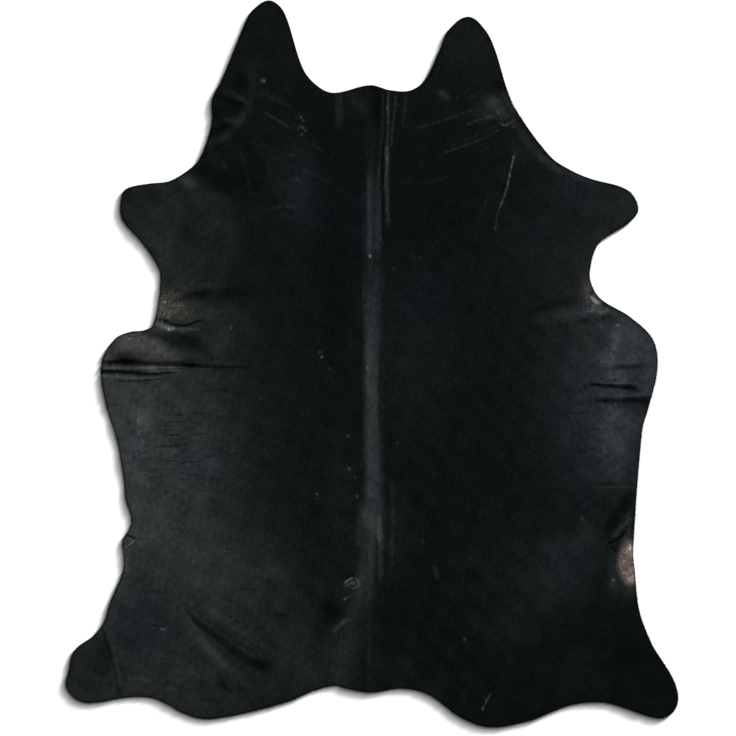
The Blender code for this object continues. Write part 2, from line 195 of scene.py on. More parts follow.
# strokes of the coat: half width in cm at the start and the end, grey levels added, mm raised
# (minus is a trough), and the points of its line; many are painted shade, highlight or sheen, as the groups
# below say
greyColumn, raisedColumn = 2, 3
strokes = (
    # left belly: the dark crease lines are painted shade in the creases, and the pale lines between them
    # painted highlight on the folds, over shallow troughs and ridges
    (1.05, 0.8, -22, -1.4, (-92.1, 109.4), (-77.4, 109.4), (-73.2, 109.3), (-68.4, 109.1), (-62.1, 108.8),
     (-54.6, 108.4), (-49.8, 108.2)),
    (1, 0.9, -17, -0.4, (-78, 110.3), (-73.2, 110.3), (-68.4, 110.2), (-63.6, 110), (-58.8, 109.6),
     (-54, 109.4), (-49.2, 109.3)),
    (0.7, 0.5, -6, -0.6, (-84, 109.6), (-75.6, 109.4), (-68.4, 109.1), (-62.1, 108.8)),
    (0.8, 0.6, -10, -0.6, (-57, 108.5), (-49.2, 108.2), (-43.2, 107.9), (-36, 107.7)),
    (0.6, 0.4, 9, 0.8, (-86.1, 107.6), (-78, 107.6), (-66.6, 107.8), (-57.6, 107.6)),
    (0.3, 0.3, -20, -0.5, (-66, 107.5), (-60, 107.4), (-54, 107.5)),
    (0.3, 0.3, 3, 0.3, (-66, 106.8), (-61.2, 107), (-55.2, 107.1)),
    (1, 0.35, -36, -1.8, (-86.1, 106.7), (-76.2, 106.6), (-72.6, 106.3), (-69.6, 106), (-66.6, 105.8),
     (-62.4, 106.1), (-57, 106.7)),
    (0.5, 0.35, 14, 0.6, (-86, 105.4), (-76.2, 105.1), (-70.5, 104.6), (-64, 104.9)),
    (0.35, 0.3, -14, -0.5, (-78, 103.9), (-73, 103.6), (-66, 104.1), (-60.6, 104.9)),
    # left armpit: the dark lines are painted shade in its creases and along its fold, over shallow troughs
    (0.7, 0.35, -32, -1.3, (-65.1, 122.7), (-63.6, 122.4), (-61.8, 121.8), (-60, 121), (-58.2, 120.4),
     (-56.4, 120.3), (-54.6, 120.8), (-52.8, 121.5), (-50.4, 122.1)),
    (0.45, 0.45, -8, -0.4, (-55.8, 120.3), (-52.8, 119.7), (-49.2, 118.8)),
    (1.1, 1.9, -12, -0.6, (-61.2, 127.5), (-57.6, 128.4), (-53.4, 129.3), (-48.6, 129.6)),
    (2.2, 2, -4, -0.2, (-50.4, 129.3), (-45, 129.9), (-37.8, 130.2)),
    (1, 0.6, 16, 0.5, (-66, 121.8), (-62.7, 120.3), (-59.4, 119.4), (-54.6, 119.4), (-49.8, 119.4)),
    (0.55, 0.55, 7, 0.2, (-50.4, 125.4), (-46.2, 124.6), (-41.4, 125.4)),
    (0.35, 0.35, -9, -0.3, (-51.6, 121.5), (-48.9, 121.6)),
    # right armpit: the two wide dark strokes are painted shade along its swell
    (2, 1.6, -5, -0.3, (46.2, 123.3), (53.4, 126.6), (62.4, 128.1)),
    (1.35, 1.1, -3, -0.3, (60, 121.5), (65.4, 121.8), (71.4, 121.8)),
    (0.8, 0.6, 48, 0, (65.4, 129.3), (66.6, 128.1), (68.4, 126.8)),
    # right belly and flank: the dark crease lines and the pucker's dark strokes are painted shade over shallow
    # troughs, and the raised pale stroke on the pucker is a painted highlight
    (0.5, 1.4, -28, -1.4, (64.2, 102.9), (71.4, 102.4), (76.2, 102.1), (80.4, 101.4)),
    (0.9, 1.7, -15, -1.2, (66, 97.8), (70.2, 98), (76.2, 98.1), (80.4, 98.1), (85.8, 97.5)),
    (1.2, 1.2, -10, -0.4, (80.7, 98.1), (82.8, 96.3), (84.6, 94.5)),
    (1.1, 1.1, -10, -0.6, (72, 108.3), (82.8, 108.1)), (0.4, 0.4, 12, 0.4, (69.6, 113.2), (73.5, 113.5)),
    (0.3, 0.3, -10, -0.3, (56.4, 94.3), (60, 94), (66, 94.5)),
    (0.35, 0.35, -9, -0.3, (59.7, 82.6), (63.9, 83), (68.1, 83.7)),
    (0.8, 0.8, -6, -0.4, (65.4, 72.9), (72, 72.9), (79.2, 73.2)),
    (0.5, 0.5, 9, 0.2, (67.8, 71.8), (76.8, 72)), (0.4, 0.4, 14, 0.2, (69, 96.9), (70.2, 95.1)),
    (0.4, 0.4, 14, 0.2, (71.1, 96.9), (72, 94.8)), (0.5, 0.5, 24, 0.3, (62.4, 63.3), (63.6, 61.8)),
    (3, 2, -10, -0.6, (79.8, 72.3), (76.5, 67.5), (73.5, 63.6), (71.1, 60), (69.6, 56.7)),
    (0.45, 0.7, -20, -1, (70.5, 54.9), (72.3, 55.6), (74.1, 56.7), (76.2, 59.1)),
    (1, 1, 12, 0.8, (71.7, 56.7), (73.8, 59.1), (77.1, 61.8)),
    (0.45, 0.45, -14, -0.6, (71.4, 54.3), (73.2, 52.6)),
    (0.7, 0.7, 11, 0, (77.2, 63.6), (77.2, 57)),
    # left haunch, hind leg and flank: the trough's dark band and the leg's bend are painted shade and the
    # trough's pale side a painted highlight, over shallow troughs and ridges; the unraised strokes along the
    # ridges are painted light and shade that damp the ridges' own highlight and shade
    (0.9, 2.6, -11, -0.9, (-57.3, 37.8), (-55.2, 35.1), (-53.1, 31.8), (-48.6, 28.5), (-43.5, 24.6),
     (-39, 21), (-34.8, 18.9), (-30, 17.7)),
    (1.6, 2, 6, 0.3, (-56.4, 33), (-52.5, 27.9), (-47.4, 21.9), (-42.6, 17.1)),
    (0.6, 0.6, 3, 0.2, (-55.2, 32.4), (-50.4, 27)),
    (1.5, 1.5, 4, 0.3, (-50.4, 36.3), (-45, 31.5), (-40.2, 26.7), (-35.4, 23.1)),
    (1, 1, 5, 0, (-43.8, 33), (-39.6, 28.8), (-36, 24.6), (-33, 20.7)),
    (1.6, 1.6, -4, 0, (-54.6, 37.8), (-45, 31.8), (-36, 26.1), (-25.8, 19.5)),
    (1.4, 1.4, -2, 0, (-56.7, 33), (-51, 25.5), (-42.6, 17.4)),
    (0.8, 1, -9, -0.8, (-81.3, 30.9), (-79.8, 26.1), (-78, 21.3), (-76.5, 14.7), (-75, 6.3)),
    (0.7, 0.7, 5, 0.3, (-77.4, 19.5), (-75.3, 12.9)), (0.4, 0.4, 34, 0.4, (-63.6, 29.7), (-61.8, 29.1)),
    (0.45, 0.35, -12, -0.4, (-66.6, 30.6), (-61.8, 30.3)),
    (0.4, 0.4, 9, 0.2, (-83.4, 15), (-78.9, 13.8)), (0.45, 0.45, 6, 0.2, (-73.8, 15), (-67.5, 14.5)),
    (0.6, 0.45, -26, -1.4, (-73.6, 57.6), (-70.6, 56.6)),
    (0.35, 0.35, 26, 0.7, (-74.6, 53.4), (-71.2, 55.9)),
    # streaks down the neck
    (1.7, 1.7, 14, 0.4, (-10.2, 192.3), (-10, 188.7), (-10, 184.5), (-10, 178.5)),
    (1.1, 1.1, 4, 0.2, (-6.6, 187.8), (-4.2, 186.3), (-1.8, 183.3)),
    (2.3, 2, -9, -0.7, (0.6, 192.3), (0.9, 188.1), (0.9, 184.5), (0.6, 180.9)),
    (0.5, 0.4, 11, 0.4, (3, 191.1), (3.1, 184), (3, 177), (2.2, 172), (1.9, 160.5)),
    (0.65, 0.65, 19, 0.7, (4.7, 194), (4.8, 186), (4.7, 178), (4.4, 171), (4.6, 166)),
    (0.5, 0.5, 14, 0.3, (4.6, 188), (4.8, 181.5)),
    (1.1, 0.8, 24, 0.6, (4.5, 176), (4.4, 161.7), (4.5, 156.9), (4.9, 149)),
    # a thin dark line beside the long streak: painted shade, over a shallow trough
    (0.35, 0.35, -9, -0.6, (3.2, 175.5), (2.9, 167.1), (3.2, 145.5)),
    (0.45, 0.35, 22, 0.4, (7.3, 191.1), (6.8, 185.1), (6, 179.1), (5.7, 172.5)),
    (0.9, 0.8, 9, 0.3, (10.2, 191.1), (9.8, 185.1), (9, 178.8)),
    # pale rim of the neck and the right shoulder
    (0.7, 0.7, 13, 0, (38.7, 190.8), (39.9, 189), (41.1, 186.9), (42.9, 183.9)),
    (2.2, 2, 11, 0, (41.7, 182.7), (44.4, 178.2), (47.7, 174.3), (51.3, 171.3)),
    (1.6, 1.2, 9, 0, (55.8, 168.3), (60.9, 165.3), (66.6, 163.2)),
    (1.6, 1.4, 14, 0, (49.2, 171.9), (52.2, 169.8), (57, 165.9)),
    # spine, loin and tail: the pale streaks down the spine are the hair's parting, partly painted sheen
    (2, 3.6, 6, 0.6, (-0.9, 183), (-0.6, 172), (0.1, 158), (0.3, 146), (0.3, 133)),
    (2, 3.2, 9, 0.4, (-0.5, 168), (0.1, 158), (0.2, 150), (0.1, 140)),
    (0.9, 1.2, 8, 0.4, (-1, 166.5), (-1.2, 159), (-1.2, 154), (-0.9, 141)),
    (0.5, 0.5, 10, 0.2, (-2.5, 162.3), (-2.6, 155.1), (-2.6, 147.3), (-2.4, 140.7)),
    (0.55, 0.5, 9, 0.2, (-2.5, 137.1), (-2.6, 131.1), (-2.5, 122.1)),
    (1.1, 1, 6, 0.2, (-0.8, 160.5), (-0.8, 150.3), (-0.8, 139.5)),
    (0.6, 0.6, -8, 0, (1.3, 129.9), (1.3, 122.7)),
    (0.6, 0.5, 10, 0.2, (4, 167.1), (3.8, 164.1), (3.7, 161.1)),
    (0.7, 0.6, 11, 0.2, (2.4, 162.9), (2.5, 158.1), (2.6, 152.7), (2.7, 146.7), (2.8, 141.9)),
    (0.6, 0.6, 5, 0, (3.4, 135.9), (3.3, 128.1)),
    (0.6, 0.6, -8, 0, (2.4, 116.1), (2.4, 107.1), (2.3, 98.1), (2.3, 86.1)),
    (0.8, 1, 9, 0.4, (2, 170), (1.9, 163), (1.8, 152), (1.6, 141)),
    (0.35, 0.35, -7, -0.4, (0.9, 173.7), (0.8, 160.5)),
    (3.2, 4.2, 20, 0.9, (0.4, 143), (0.1, 128), (-0.1, 110), (0.1, 89), (0.6, 70), (0.8, 52)),
    (1.9, 2.7, 8, 0.3, (-0.9, 124), (-0.6, 106), (-0.1, 90), (0.1, 75), (0.4, 62)),
    (0.8, 0.8, 5, 0.3, (-1.1, 118.5), (-0.9, 107.1), (-0.8, 98.7)),
    (3.8, 4.6, 16, 0.5, (-0.2, 68), (-0.7, 60), (-0.9, 53), (-1.5, 45), (-3.2, 35)),
    (1.3, 1.3, 5, 0.4, (-0.2, 60), (-0.4, 52), (-0.4, 42)),
    (1.5, 1.6, 9, 0.4, (-2.6, 68), (-3.9, 60.6), (-4.6, 53)),
    (1.3, 1.1, 16, 0.5, (2.1, 64.5), (2.5, 57.6), (2.6, 50), (2.4, 42.5)),
    (0.5, 0.5, -6, -0.5, (1.1, 58.2), (1.2, 50), (1.1, 42)),
    (0.8, 0.8, 8, 0.2, (6, 74.7), (6.2, 62.1), (5.9, 47)),
    (0.8, 0.8, 6, 0.4, (1.6, 60), (2.2, 55.7)),
    (0.7, 0.7, 6, 0.3, (-0.9, 44), (-0.9, 30), (-0.8, 20), (-0.5, 11)),
    (1.8, 1.6, 1, -0.4, (1.8, 38.1), (1.5, 26.1), (1.2, 12.3)),
    (0.9, 0.9, -5, -0.3, (-3.3, 23.7), (-2.7, 12.3)),
    # marks on the left haunch
    (1.6, 1.2, 7, 0.2, (-56.1, 17.7), (-53.7, 16.5), (-51.6, 14.4)),
    (1.6, 1.3, -6, -0.3, (-47.4, 13.5), (-44.7, 12), (-42, 11.1)),
    (0.8, 0.6, -10, -0.4, (-45.9, 15.3), (-44.7, 12.9), (-43.5, 10.8)),
    (0.8, 0.8, -8, -0.3, (-52.2, 9), (-49.8, 8.1), (-47.4, 7.5)),
    (1.3, 1.1, -6, -0.3, (-40.8, 12.3), (-37.8, 11.1)),
    (0.5, 0.4, 4, 0.1, (-73.8, 14.5), (-66.6, 14.4), (-56.7, 14.2)),
    (0.5, 0.4, 3, 0.1, (-72.6, 11.4), (-66, 11.2), (-57.6, 11.4)),
    (0.8, 0.8, -6, -0.3, (-69, 40.5), (-65.4, 40.8), (-61.2, 40.2)),
    (0.7, 0.6, -6, -0.3, (-39.3, 41.4), (-34.2, 41.2)), (0.7, 0.6, -7, -0.3, (-29.4, 33.6), (-24.3, 33.6)),
    # wrinkles and lines of the neck
    (1.2, 1.1, 6, 0.3, (-45.6, 189.9), (-43.5, 190.8), (-40.8, 189.9), (-38.1, 187.5), (-35.4, 184.8)),
    (1.7, 1.3, 6, 0.3, (-50.1, 181.8), (-47.4, 180.9), (-44.1, 181.5), (-40.2, 181.8), (-37.8, 184.2),
     (-36, 186.9)),
    (1.8, 1.5, 8, 0.3, (-49.8, 173.7), (-46.2, 176.1), (-42.6, 178.5), (-39.9, 181.5), (-37.8, 185.1)),
    (2.2, 1.6, 5, 0.2, (-36.3, 201.3), (-36, 194.1), (-36.3, 186)),
    (0.9, 0.8, 6, 0.2, (-34.8, 189.9), (-32.1, 190.2), (-29.4, 187.5)),
    (0.7, 0.6, 6, 0.2, (-39.3, 173.1), (-38.4, 167.7), (-36.3, 160.5)),
    (0.8, 0.6, 5, 0.2, (-31.8, 169.5), (-30.9, 166.8), (-29.7, 163.5)),
    (0.7, 0.6, 6, 0.2, (-45, 170.4), (-44.4, 168.3), (-43.5, 166.5)),
    (0.5, 0.5, 6, 0.2, (-25.2, 177.3), (-24, 175.8), (-22.5, 174)),
    (0.8, 0.7, 8, 0.2, (-18.9, 175.2), (-16.5, 173.7), (-13.5, 171.6)),
    (0.8, 0.6, 5, 0.2, (14.7, 162.3), (19.2, 163.8), (24, 165.6)),
    # scratches of the neck and shoulders
    (0.6, 0.4, 14, 0.4, (-33.3, 185.1), (-30.6, 183.3), (-27.3, 181.3), (-23.7, 179.2)),
    (0.5, 0.35, 9, 0.3, (-30, 188.7), (-26.4, 186.9), (-21.9, 183.6)),
    (0.35, 0.35, 7, 0.2, (-22.8, 168), (-18, 165.9), (-11.7, 162.8)),
    (0.7, 0.55, 9, 0.2, (-26.7, 156.6), (-22.2, 155.5)),
    (0.45, 0.45, 7, 0.2, (-32.1, 155.2), (-26.7, 156)),
    (0.45, 0.45, 11, 0.2, (-22.8, 164.7), (-21, 163.2)),
    (0.4, 0.45, 12, 0.3, (10.8, 178.8), (16.2, 180.3), (20.4, 181.5), (27, 183.9), (33, 185.7)),
    (0.4, 0.45, 14, 0.4, (27.6, 180.3), (31.2, 181.8), (36, 183)),
    (0.5, 0.45, 16, 0.4, (20.7, 171.8), (23.4, 172.8), (29.4, 174.9), (32.4, 176.1)),
    (0.45, 0.35, 10, 0.3, (30.6, 175.3), (34.2, 177), (39, 179.4)),
    (0.4, 0.35, 10, 0.2, (30, 176.1), (30.9, 177), (32.4, 178.8)),
    (0.6, 0.6, 10, 0.2, (27.6, 188.2), (31.2, 189.6)),
    # whorl and scars on the right shoulder
    (0.4, 0.4, 9, 0.2, (36.6, 187.2), (37.8, 184.2), (39.3, 181)),
    (0.4, 0.4, 10, 0.2, (34.2, 183.2), (36.9, 182.7), (39, 181)),
    (0.5, 0.45, 42, 0.6, (38.7, 180.9), (39.9, 180.3), (41.1, 180.9)),
    (0.45, 0.4, 22, 0.4, (40.8, 180.8), (42, 181.8), (43.5, 182.7)),
    (0.42, 0.35, 44, 0.6, (43, 173.1), (42.1, 169.5), (41.2, 165.6), (40.5, 162), (39.4, 158.7),
     (38.4, 155.7)),
    (0.4, 0.35, 18, 0.4, (39.4, 158.7), (37.9, 154.8), (37.2, 151.5), (36.9, 147.9)),
    # a dark line beside the long scar: painted shade, over a shallow trough
    (0.45, 0.45, -6, -0.4, (41.7, 171), (40.2, 164.7), (38.4, 158.4)),
    (0.35, 0.35, 7, 0.2, (40.2, 169.5), (39.6, 162.9)),
    (0.4, 0.4, 8, 0.2, (35.2, 161.1), (33.9, 156.6), (31.8, 151.2)),
    (0.3, 0.3, 6, 0.2, (7.5, 162.9), (18.3, 164.1)),
    # scars beside the loin
    (0.36, 0.3, 46, 0.6, (-8.4, 43.1), (-7.3, 43.9), (-6.3, 44.6), (-5.4, 44.8)),
    (0.42, 0.36, 26, 0.4, (-5.7, 44.8), (-4.5, 44.4), (-3.8, 43.4), (-4.3, 42.1), (-5.3, 41.7), (-6.5, 42)),
    # a dark arc beside the scar ring: painted shade, over a shallow trough
    (0.4, 0.4, -13, -0.3, (-7.9, 44.6), (-6.6, 45.3), (-5.4, 45.6)),
    (0.36, 0.3, 32, 0.4, (-8.3, 42.4), (-7.2, 42.5), (-6.5, 43.2), (-5.5, 43.4), (-5, 42.5)),
    (0.45, 0.4, 38, 0.5, (-8.7, 38.2), (-7.6, 38.6)), (0.4, 0.35, 16, 0.2, (-7.8, 38.7), (-6.6, 39.2)),
    (0.5, 0.4, -12, -0.2, (-8.1, 37.6), (-6.5, 38.2)),
    (1.05, 1, 16, 0.4, (-11.7, 28.5), (-10.5, 29.7), (-9.3, 30.9), (-8.1, 32.1)),
    (0.7, 0.6, 10, 0.2, (-9, 31.8), (-7.5, 32.3), (-5.7, 32.2)),
    (0.45, 0.45, 6, 0.2, (-10.5, 42.6), (-10.2, 38.1)),
    # right haunch and buttock
    (0.4, 0.4, 24, 0.5, (35.8, 10.7), (34.2, 7.6), (32.8, 4.6)),
    (0.7, 0.7, 11, 0.2, (18.9, 48.6), (19.6, 43.8)), (0.45, 0.45, 8, 0.2, (27.6, 10.5), (27.7, 6.9)),
)

# hair-thin lines strewn over a zone: how many, its middle, its half width and half length in cm,
# direction and its spread in degrees, shortest and longest in cm, half width in cm, grey levels added
scatters = (
    # the dark lines in the crease rows are painted shade in fine creases, over shallow troughs
    (46, (-59, 84), (15, 20), 0, 5, (2.5, 9), 0.3, -11),  # left flank creases
    (22, (-56, 62), (15, 12), 0, 12, (2, 6), 0.3, -6),  # left flank creases, low
    (12, (-70, 88), (5, 16), 93, 8, (3, 11), 0.3, 8),  # left flank pale lines
    (16, (-56, 78), (12, 14), 92, 22, (1.5, 4), 0.3, -9),  # left flank, across
    (8, (-50, 100), (14, 6), 2, 6, (3, 8), 0.3, -6),  # left belly lines
    (16, (70, 92), (8, 20), 2, 8, (2, 6), 0.3, -8),  # right flank creases
    (12, (72, 96), (6, 22), 84, 12, (2, 7), 0.3, 8),  # right flank pale lines
    (15, (-30, 178), (13, 14), -34, 16, (2.5, 8), 0.35, 6),  # neck scratches, left
    (12, (-24, 158), (9, 10), -14, 20, (2, 6), 0.35, 6),  # shoulder scratches, left
    (15, (28, 181), (11, 9), 26, 14, (2.5, 8), 0.35, 6),  # neck scratches, right
    (12, (-70, 18), (12, 9), 0, 10, (2, 6), 0.35, 5),  # left hind lines
    (12, (-38, 22), (16, 12), -40, 20, (2, 6), 0.35, -5),  # left haunch lines
    (10, (40, 40), (22, 22), 30, 40, (2, 6), 0.35, 4),  # right rump lines
    (12, (-58, 150), (11, 10), 60, 25, (2, 6), 0.35, -5),  # left fore leg lines
)

# soft patches: middle, half width and half length in cm, degrees turned, grey levels added
patches = (
    # neck and shoulders
    (20, 166, 34, 28, 0, -4), (-6, 189.9, 3, 1, 15, 6), (-13.8, 178.5, 7, 13, 0, -3),
    (45.6, 159.3, 6, 7, 0, -4), (36.6, 185.4, 5.6, 4.2, 25, 15), (36, 187.8, 2.2, 1.7, 0, 20),
    (37.5, 192.3, 2.4, 1.3, -10, -9), (25.8, 193.8, 2.6, 2.8, 0, -4), (36, 181.5, 1.4, 0.9, 0, -9),
    (42.9, 177.9, 1.2, 1.2, 0, -8), (44.7, 175.5, 1.2, 1, 0, -8), (21, 190.2, 1.4, 1.2, 0, 13),
    # (-40.2, 193.2) at the end of this line and the three on the next are dark patches among the neck's
    # wrinkles: painted shade
    (22.5, 188.7, 1.4, 1, 0, 11), (30, 205, 9, 12, 0, 4), (-40.2, 193.2, 2.9, 2.7, 0, -6),
    (-42.6, 185.1, 4.2, 2.4, 10, -4), (-46.2, 184.8, 1.9, 1.1, 0, -6), (-46.2, 178.8, 2.6, 1.8, 20, -8),
    (-45, 162.3, 6.5, 3.6, 30, -7), (-37.2, 164.1, 5, 6.5, 20, -4), (-36.6, 175.5, 3, 3, 0, -4),
    (-23.4, 186.3, 6.5, 4.5, 0, -3), (-54.9, 163.8, 3, 1.8, -25, 25), (-50.4, 167.1, 3, 1.8, 30, -7),
    (-63.6, 162.9, 5, 1.6, 5, 7), (-47.7, 159.3, 2.8, 1.6, -25, 7), (44.1, 173.7, 4.6, 2.2, -48, 9),
    (20.6, 189.9, 0.9, 0.7, 0, 12), (22.8, 188.7, 1, 0.6, -30, 7), (-49.2, 165.3, 3, 3.2, 0, -3),
    # fore legs, armpits and belly
    (-64, 154, 19, 19, 0, 7), (-10.8, 131.1, 5, 22, 0, -3), (69.9, 152.1, 28, 24, 0, 12),
    (60, 151.5, 11, 9, 0, -6), (12, 112, 13, 24, 0, 5), (-45, 116, 6, 4, 0, 5), (-54, 146.7, 5, 4, 0, -5),
    # (-39.6, 130.2) is painted shade along the left armpit's fold, and (-71.7, 111) painted shade above the
    # left belly's crease
    (-56.4, 151.8, 4.6, 4.6, 0, -7), (-39.6, 130.2, 6, 2.2, 0, -4), (-71.7, 111, 5.4, 1.7, 0, -26),
    (-80.1, 110.7, 1.6, 2.4, 0, 12), (-69.9, 118.5, 1.8, 0.8, -10, 12), (-57, 118.5, 0.9, 0.5, 0, 18),
    (-61.2, 120.3, 1.8, 0.8, 0, -14), (-58.2, 109.5, 3, 0.5, 0, -9), (-64.2, 128.1, 1.8, 8, 0, 15),
    (-49.8, 124.5, 5.5, 3.6, 0, 6), (-61.2, 119.7, 2.3, 0.8, -14, 28), (-55.5, 115.8, 4.6, 2.2, -12, -9),
    (-63.6, 117.3, 2.8, 1.1, -14, -7), (-42, 121.5, 6.5, 6, 0, 4), (67.5, 124.8, 4, 1, 0, 17),
    (59.4, 123, 11, 2.2, 10, 12), (76.5, 117.9, 4.5, 4, 0, 10), (73.2, 116, 1.6, 3.4, 0, 12),
    (73.5, 121.4, 1.5, 1, 0, -6), (75.6, 110.7, 7.5, 1.8, 0, 6), (82.2, 96.9, 1.6, 2.4, 10, -20),
    (76.5, 100.8, 3.6, 1.1, 0, -9), (76.2, 96.9, 5, 1.3, 0, -13), (61.2, 101.1, 4.4, 1.4, 0, -7),
    (80.7, 108.3, 2.2, 4.5, 0, -7), (-51.6, 141.3, 11, 7, 0, -4), (78.6, 96.9, 3.6, 2, 0, -7),
    (78.6, 104.1, 2.3, 8, 0, -5), (71.4, 111.6, 2.6, 1.8, 0, -8), (78, 103.5, 3.6, 0.9, 0, -6),
    (81.6, 98.1, 1.8, 0.7, 0, 9), (68.1, 95.7, 2.6, 4, 0, -6), (-59.4, 126.9, 3, 2.6, 0, 4),
    (27.6, 98.1, 4.4, 4.4, 0, -2),
    # back and flanks; the first patch, broad and pale over the left flank, is painted sheen
    (-84, 80, 42, 58, 0, 36), (-8.5, 66, 5, 20, 0, 5), (7, 58, 5, 13, 0, 6), (-50, 79, 8, 34, 0, 5),
    (72.3, 86, 3.6, 11.5, 0, 9), (80, 88, 3.4, 11, -6, -9), (71.4, 68.1, 8, 4, 0, -5),
    (60.6, 54.9, 10, 3.8, 0, 5), (-68.4, 93.3, 5, 7, 0, 6), (-65, 59, 8, 6, 0, 6),
    (79.8, 94.5, 2, 1.6, 0, -10), (66.6, 59.7, 4, 3.4, 0, 3), (76.8, 78.3, 3.2, 4.4, 0, -3),
    # haunches, hind legs and rump
    (-62, 8, 38, 24, 0, 13), (-30, 38, 17, 24, 20, 8), (-6.5, 32, 5.5, 11, 0, 7), (-9.5, 20, 6, 9, 0, 3),
    (8.4, 16.5, 5, 8, 0, 4), (61.8, 15.9, 9, 8, 0, 3), (-47.1, 45.6, 16, 13, 0, 8),
    (-84.6, 17.7, 8, 9, 0, -7), (-80.7, 21.6, 3, 8, 8, -6), (47.4, 45.9, 18, 17, 0, 5),
    (52.8, 41.7, 9, 8, 0, 5), (72, 42.6, 2.4, 2.6, 0, 6), (76, 16, 22, 16, 0, -1),
    (-14, 20, 12, 13, 30, 9), (-74.7, 25.5, 2, 6, 8, -5), (-28.8, 45.9, 5, 5, 0, 4),
    (-33, 18.6, 3.2, 1.9, -15, -7), (72.6, 47, 1.9, 5.8, 0, 12), (77.7, 40.5, 2.2, 2, 0, 12),
    (-6.5, 43.4, 2.2, 1.6, 0, 9), (40.2, 29.1, 9, 5, 0, 5), (18.6, 11.1, 5, 4, 0, 4),
    (75.6, 40.5, 3.6, 4, 0, 4), (-12.3, 34.5, 2.7, 4.4, 4, -9), (-15.9, 26.1, 3, 8.5, 0, -8),
    (-9.6, 34.2, 2, 2.3, 0, -9), (-11.7, 25.5, 1.8, 2, 0, -6), (-67.8, 50.1, 3, 4, 0, -3),
    (-67.8, 11.1, 4, 3, 0, -3), (-87.6, 11.7, 3, 3, 0, 3), (-49.2, 21.3, 4.4, 4.4, 0, 3),
    (28.2, 49.5, 4.4, 4.4, 0, 2), (76.2, 21.3, 4.4, 4.4, 0, -3), (-1.8, 49.5, 2.4, 4.4, 0, 3),
    (-4.5, 36, 3.2, 3.4, 0, 6),
)

# the same with a tint; where two of them meet, the later one counts for more
tintedPatches = (
    (-3.3, 186.6, 2.8, 2.2, -40, 9, "blue"), (-5.7, 182.1, 3, 2.4, -40, 0, "blue"),
    # (82, 100), broad and blue-grey over the right flank, is painted sheen
    (82, 100, 25, 33, 0, 33, "blue"), (60.3, 49.5, 9, 9, 0, 5, "blue"), (16.2, 128.7, 8, 11, 0, 0, "blue"),
    (-0.6, 150.3, 6, 16, 0, 0, "blue"), (-0.3, 122.7, 3.6, 12, 0, 0, "blue"),
    (-0.3, 74.7, 3, 16, 0, 0, "blue"), (-18, 153.9, 8, 6, 0, 0, "blue"), (60, 160.5, 8, 5, 0, 0, "blue"),
    (50.4, 149.4, 4.5, 4.5, 0, 0, "blue"), (62.4, 90.9, 9, 25, 0, 0, "blue"),
    (-49.8, 79.5, 12, 6, 0, 0, "blue"), (-70.2, 84.3, 5, 5, 0, 0, "blue"),
    (-22.2, 162.5, 6, 12, 0, 9, "blue"), (-68.4, 30.9, 9, 15, 0, -6, "blue"),
    (39.6, 184.2, 3.4, 1.6, -40, 9, "blue"), (-70.2, 113.1, 9, 3.6, -10, 5, "warm"),
    (-76, 114.6, 4, 3.4, -40, 2, "brown"), (-60, 125.7, 5.8, 5.6, 0, 18, "brown"),
    (-66.3, 118.8, 2.2, 1.2, -30, -2, "mauve"), (-74.4, 50.4, 1.3, 3.6, 0, 16, "mauve"),
    (66.9, 127.4, 2, 1.4, -35, 30, "pink"), (64.2, 131.4, 1.8, 3.2, 0, 18, "mauve"),
    (71, 126.2, 2.6, 0.7, -25, -12, "brown"), (71.6, 110.6, 2.8, 2.6, 0, 14, "blue"),
    (73.4, 104.8, 2.6, 3, 0, 12, "blue"), (66.3, 81.9, 2.2, 0.7, 0, 3, "mauve"),
    (76.4, 57, 2, 1.6, 30, 12, "brown"),
)

# the same with a sharper edge
crispPatches = (
    (77.2, 49.2, 3.6, 7, 2, 60, "pink"), (-52.8, 147, 13.8, 15.8, 0, 7),
    (-66.3, 111.9, 10.5, 4.8, -22, 20, "warm"), (-56.4, 115.5, 8, 2.7, -16, -8),
)

# white hairs and flecks: middle, radius in cm, grey levels added
specks = (
    (-32.4, 193.8, 0.75, 70), (-33.1, 193.9, 0.5, 28), (-21.9, 184.2, 0.4, 36), (-21.3, 183, 0.45, 80),
    (-22.6, 182.7, 0.35, 40), (-20.6, 181.9, 0.4, 56), (-21.6, 180, 0.4, 40), (-20.7, 179.7, 0.45, 66),
    (-19.9, 178.9, 0.35, 50), (-22.2, 179.5, 0.35, 36), (-21, 177.8, 0.5, 46), (-15.6, 112.5, 0.4, 50),
    (-15.1, 111, 0.5, 74), (-12.6, 107.4, 0.8, 20), (-33.6, 98.7, 0.6, 14), (-7.3, 87.3, 0.4, 56),
    (-16.5, 69.9, 0.45, 56), (-16.5, 68.5, 0.35, 28), (-6.8, 77.5, 0.5, 48), (-5.1, 75, 0.4, 38),
    (-4.5, 69.3, 0.6, 38), (-3.3, 78.6, 0.7, 12), (-0.6, 141.2, 0.55, 90), (-1.5, 107.8, 0.45, 60),
    (12.3, 141.6, 0.35, 24), (12.8, 140.4, 0.35, 24), (14.4, 140.7, 0.4, 24), (6.6, 137.4, 0.5, 20),
    (14.7, 169.2, 0.6, 13), (7.5, 85.2, 0.6, 24), (38.4, 66.6, 0.8, 12), (32.4, 64.5, 0.8, 12),
    (15.4, 55.8, 0.8, 13), (27.8, 26.4, 0.7, 20), (41.1, 19.8, 0.5, 13), (34.2, 8.4, 0.4, 40),
    (33, 5.5, 0.4, 36), (73.8, 120.6, 0.45, 60), (72.3, 44.1, 0.5, 60), (63.6, 66.6, 0.5, 20),
    (-62.1, 127.6, 0.45, 60), (-60.8, 119.2, 0.5, 64), (-59.6, 119.6, 0.4, 50), (-42.3, 119.7, 0.5, 46),
    (-37.4, 123, 0.5, 22), (77.6, 53.6, 1.7, 44), (77.9, 44.4, 1.6, 30),
)

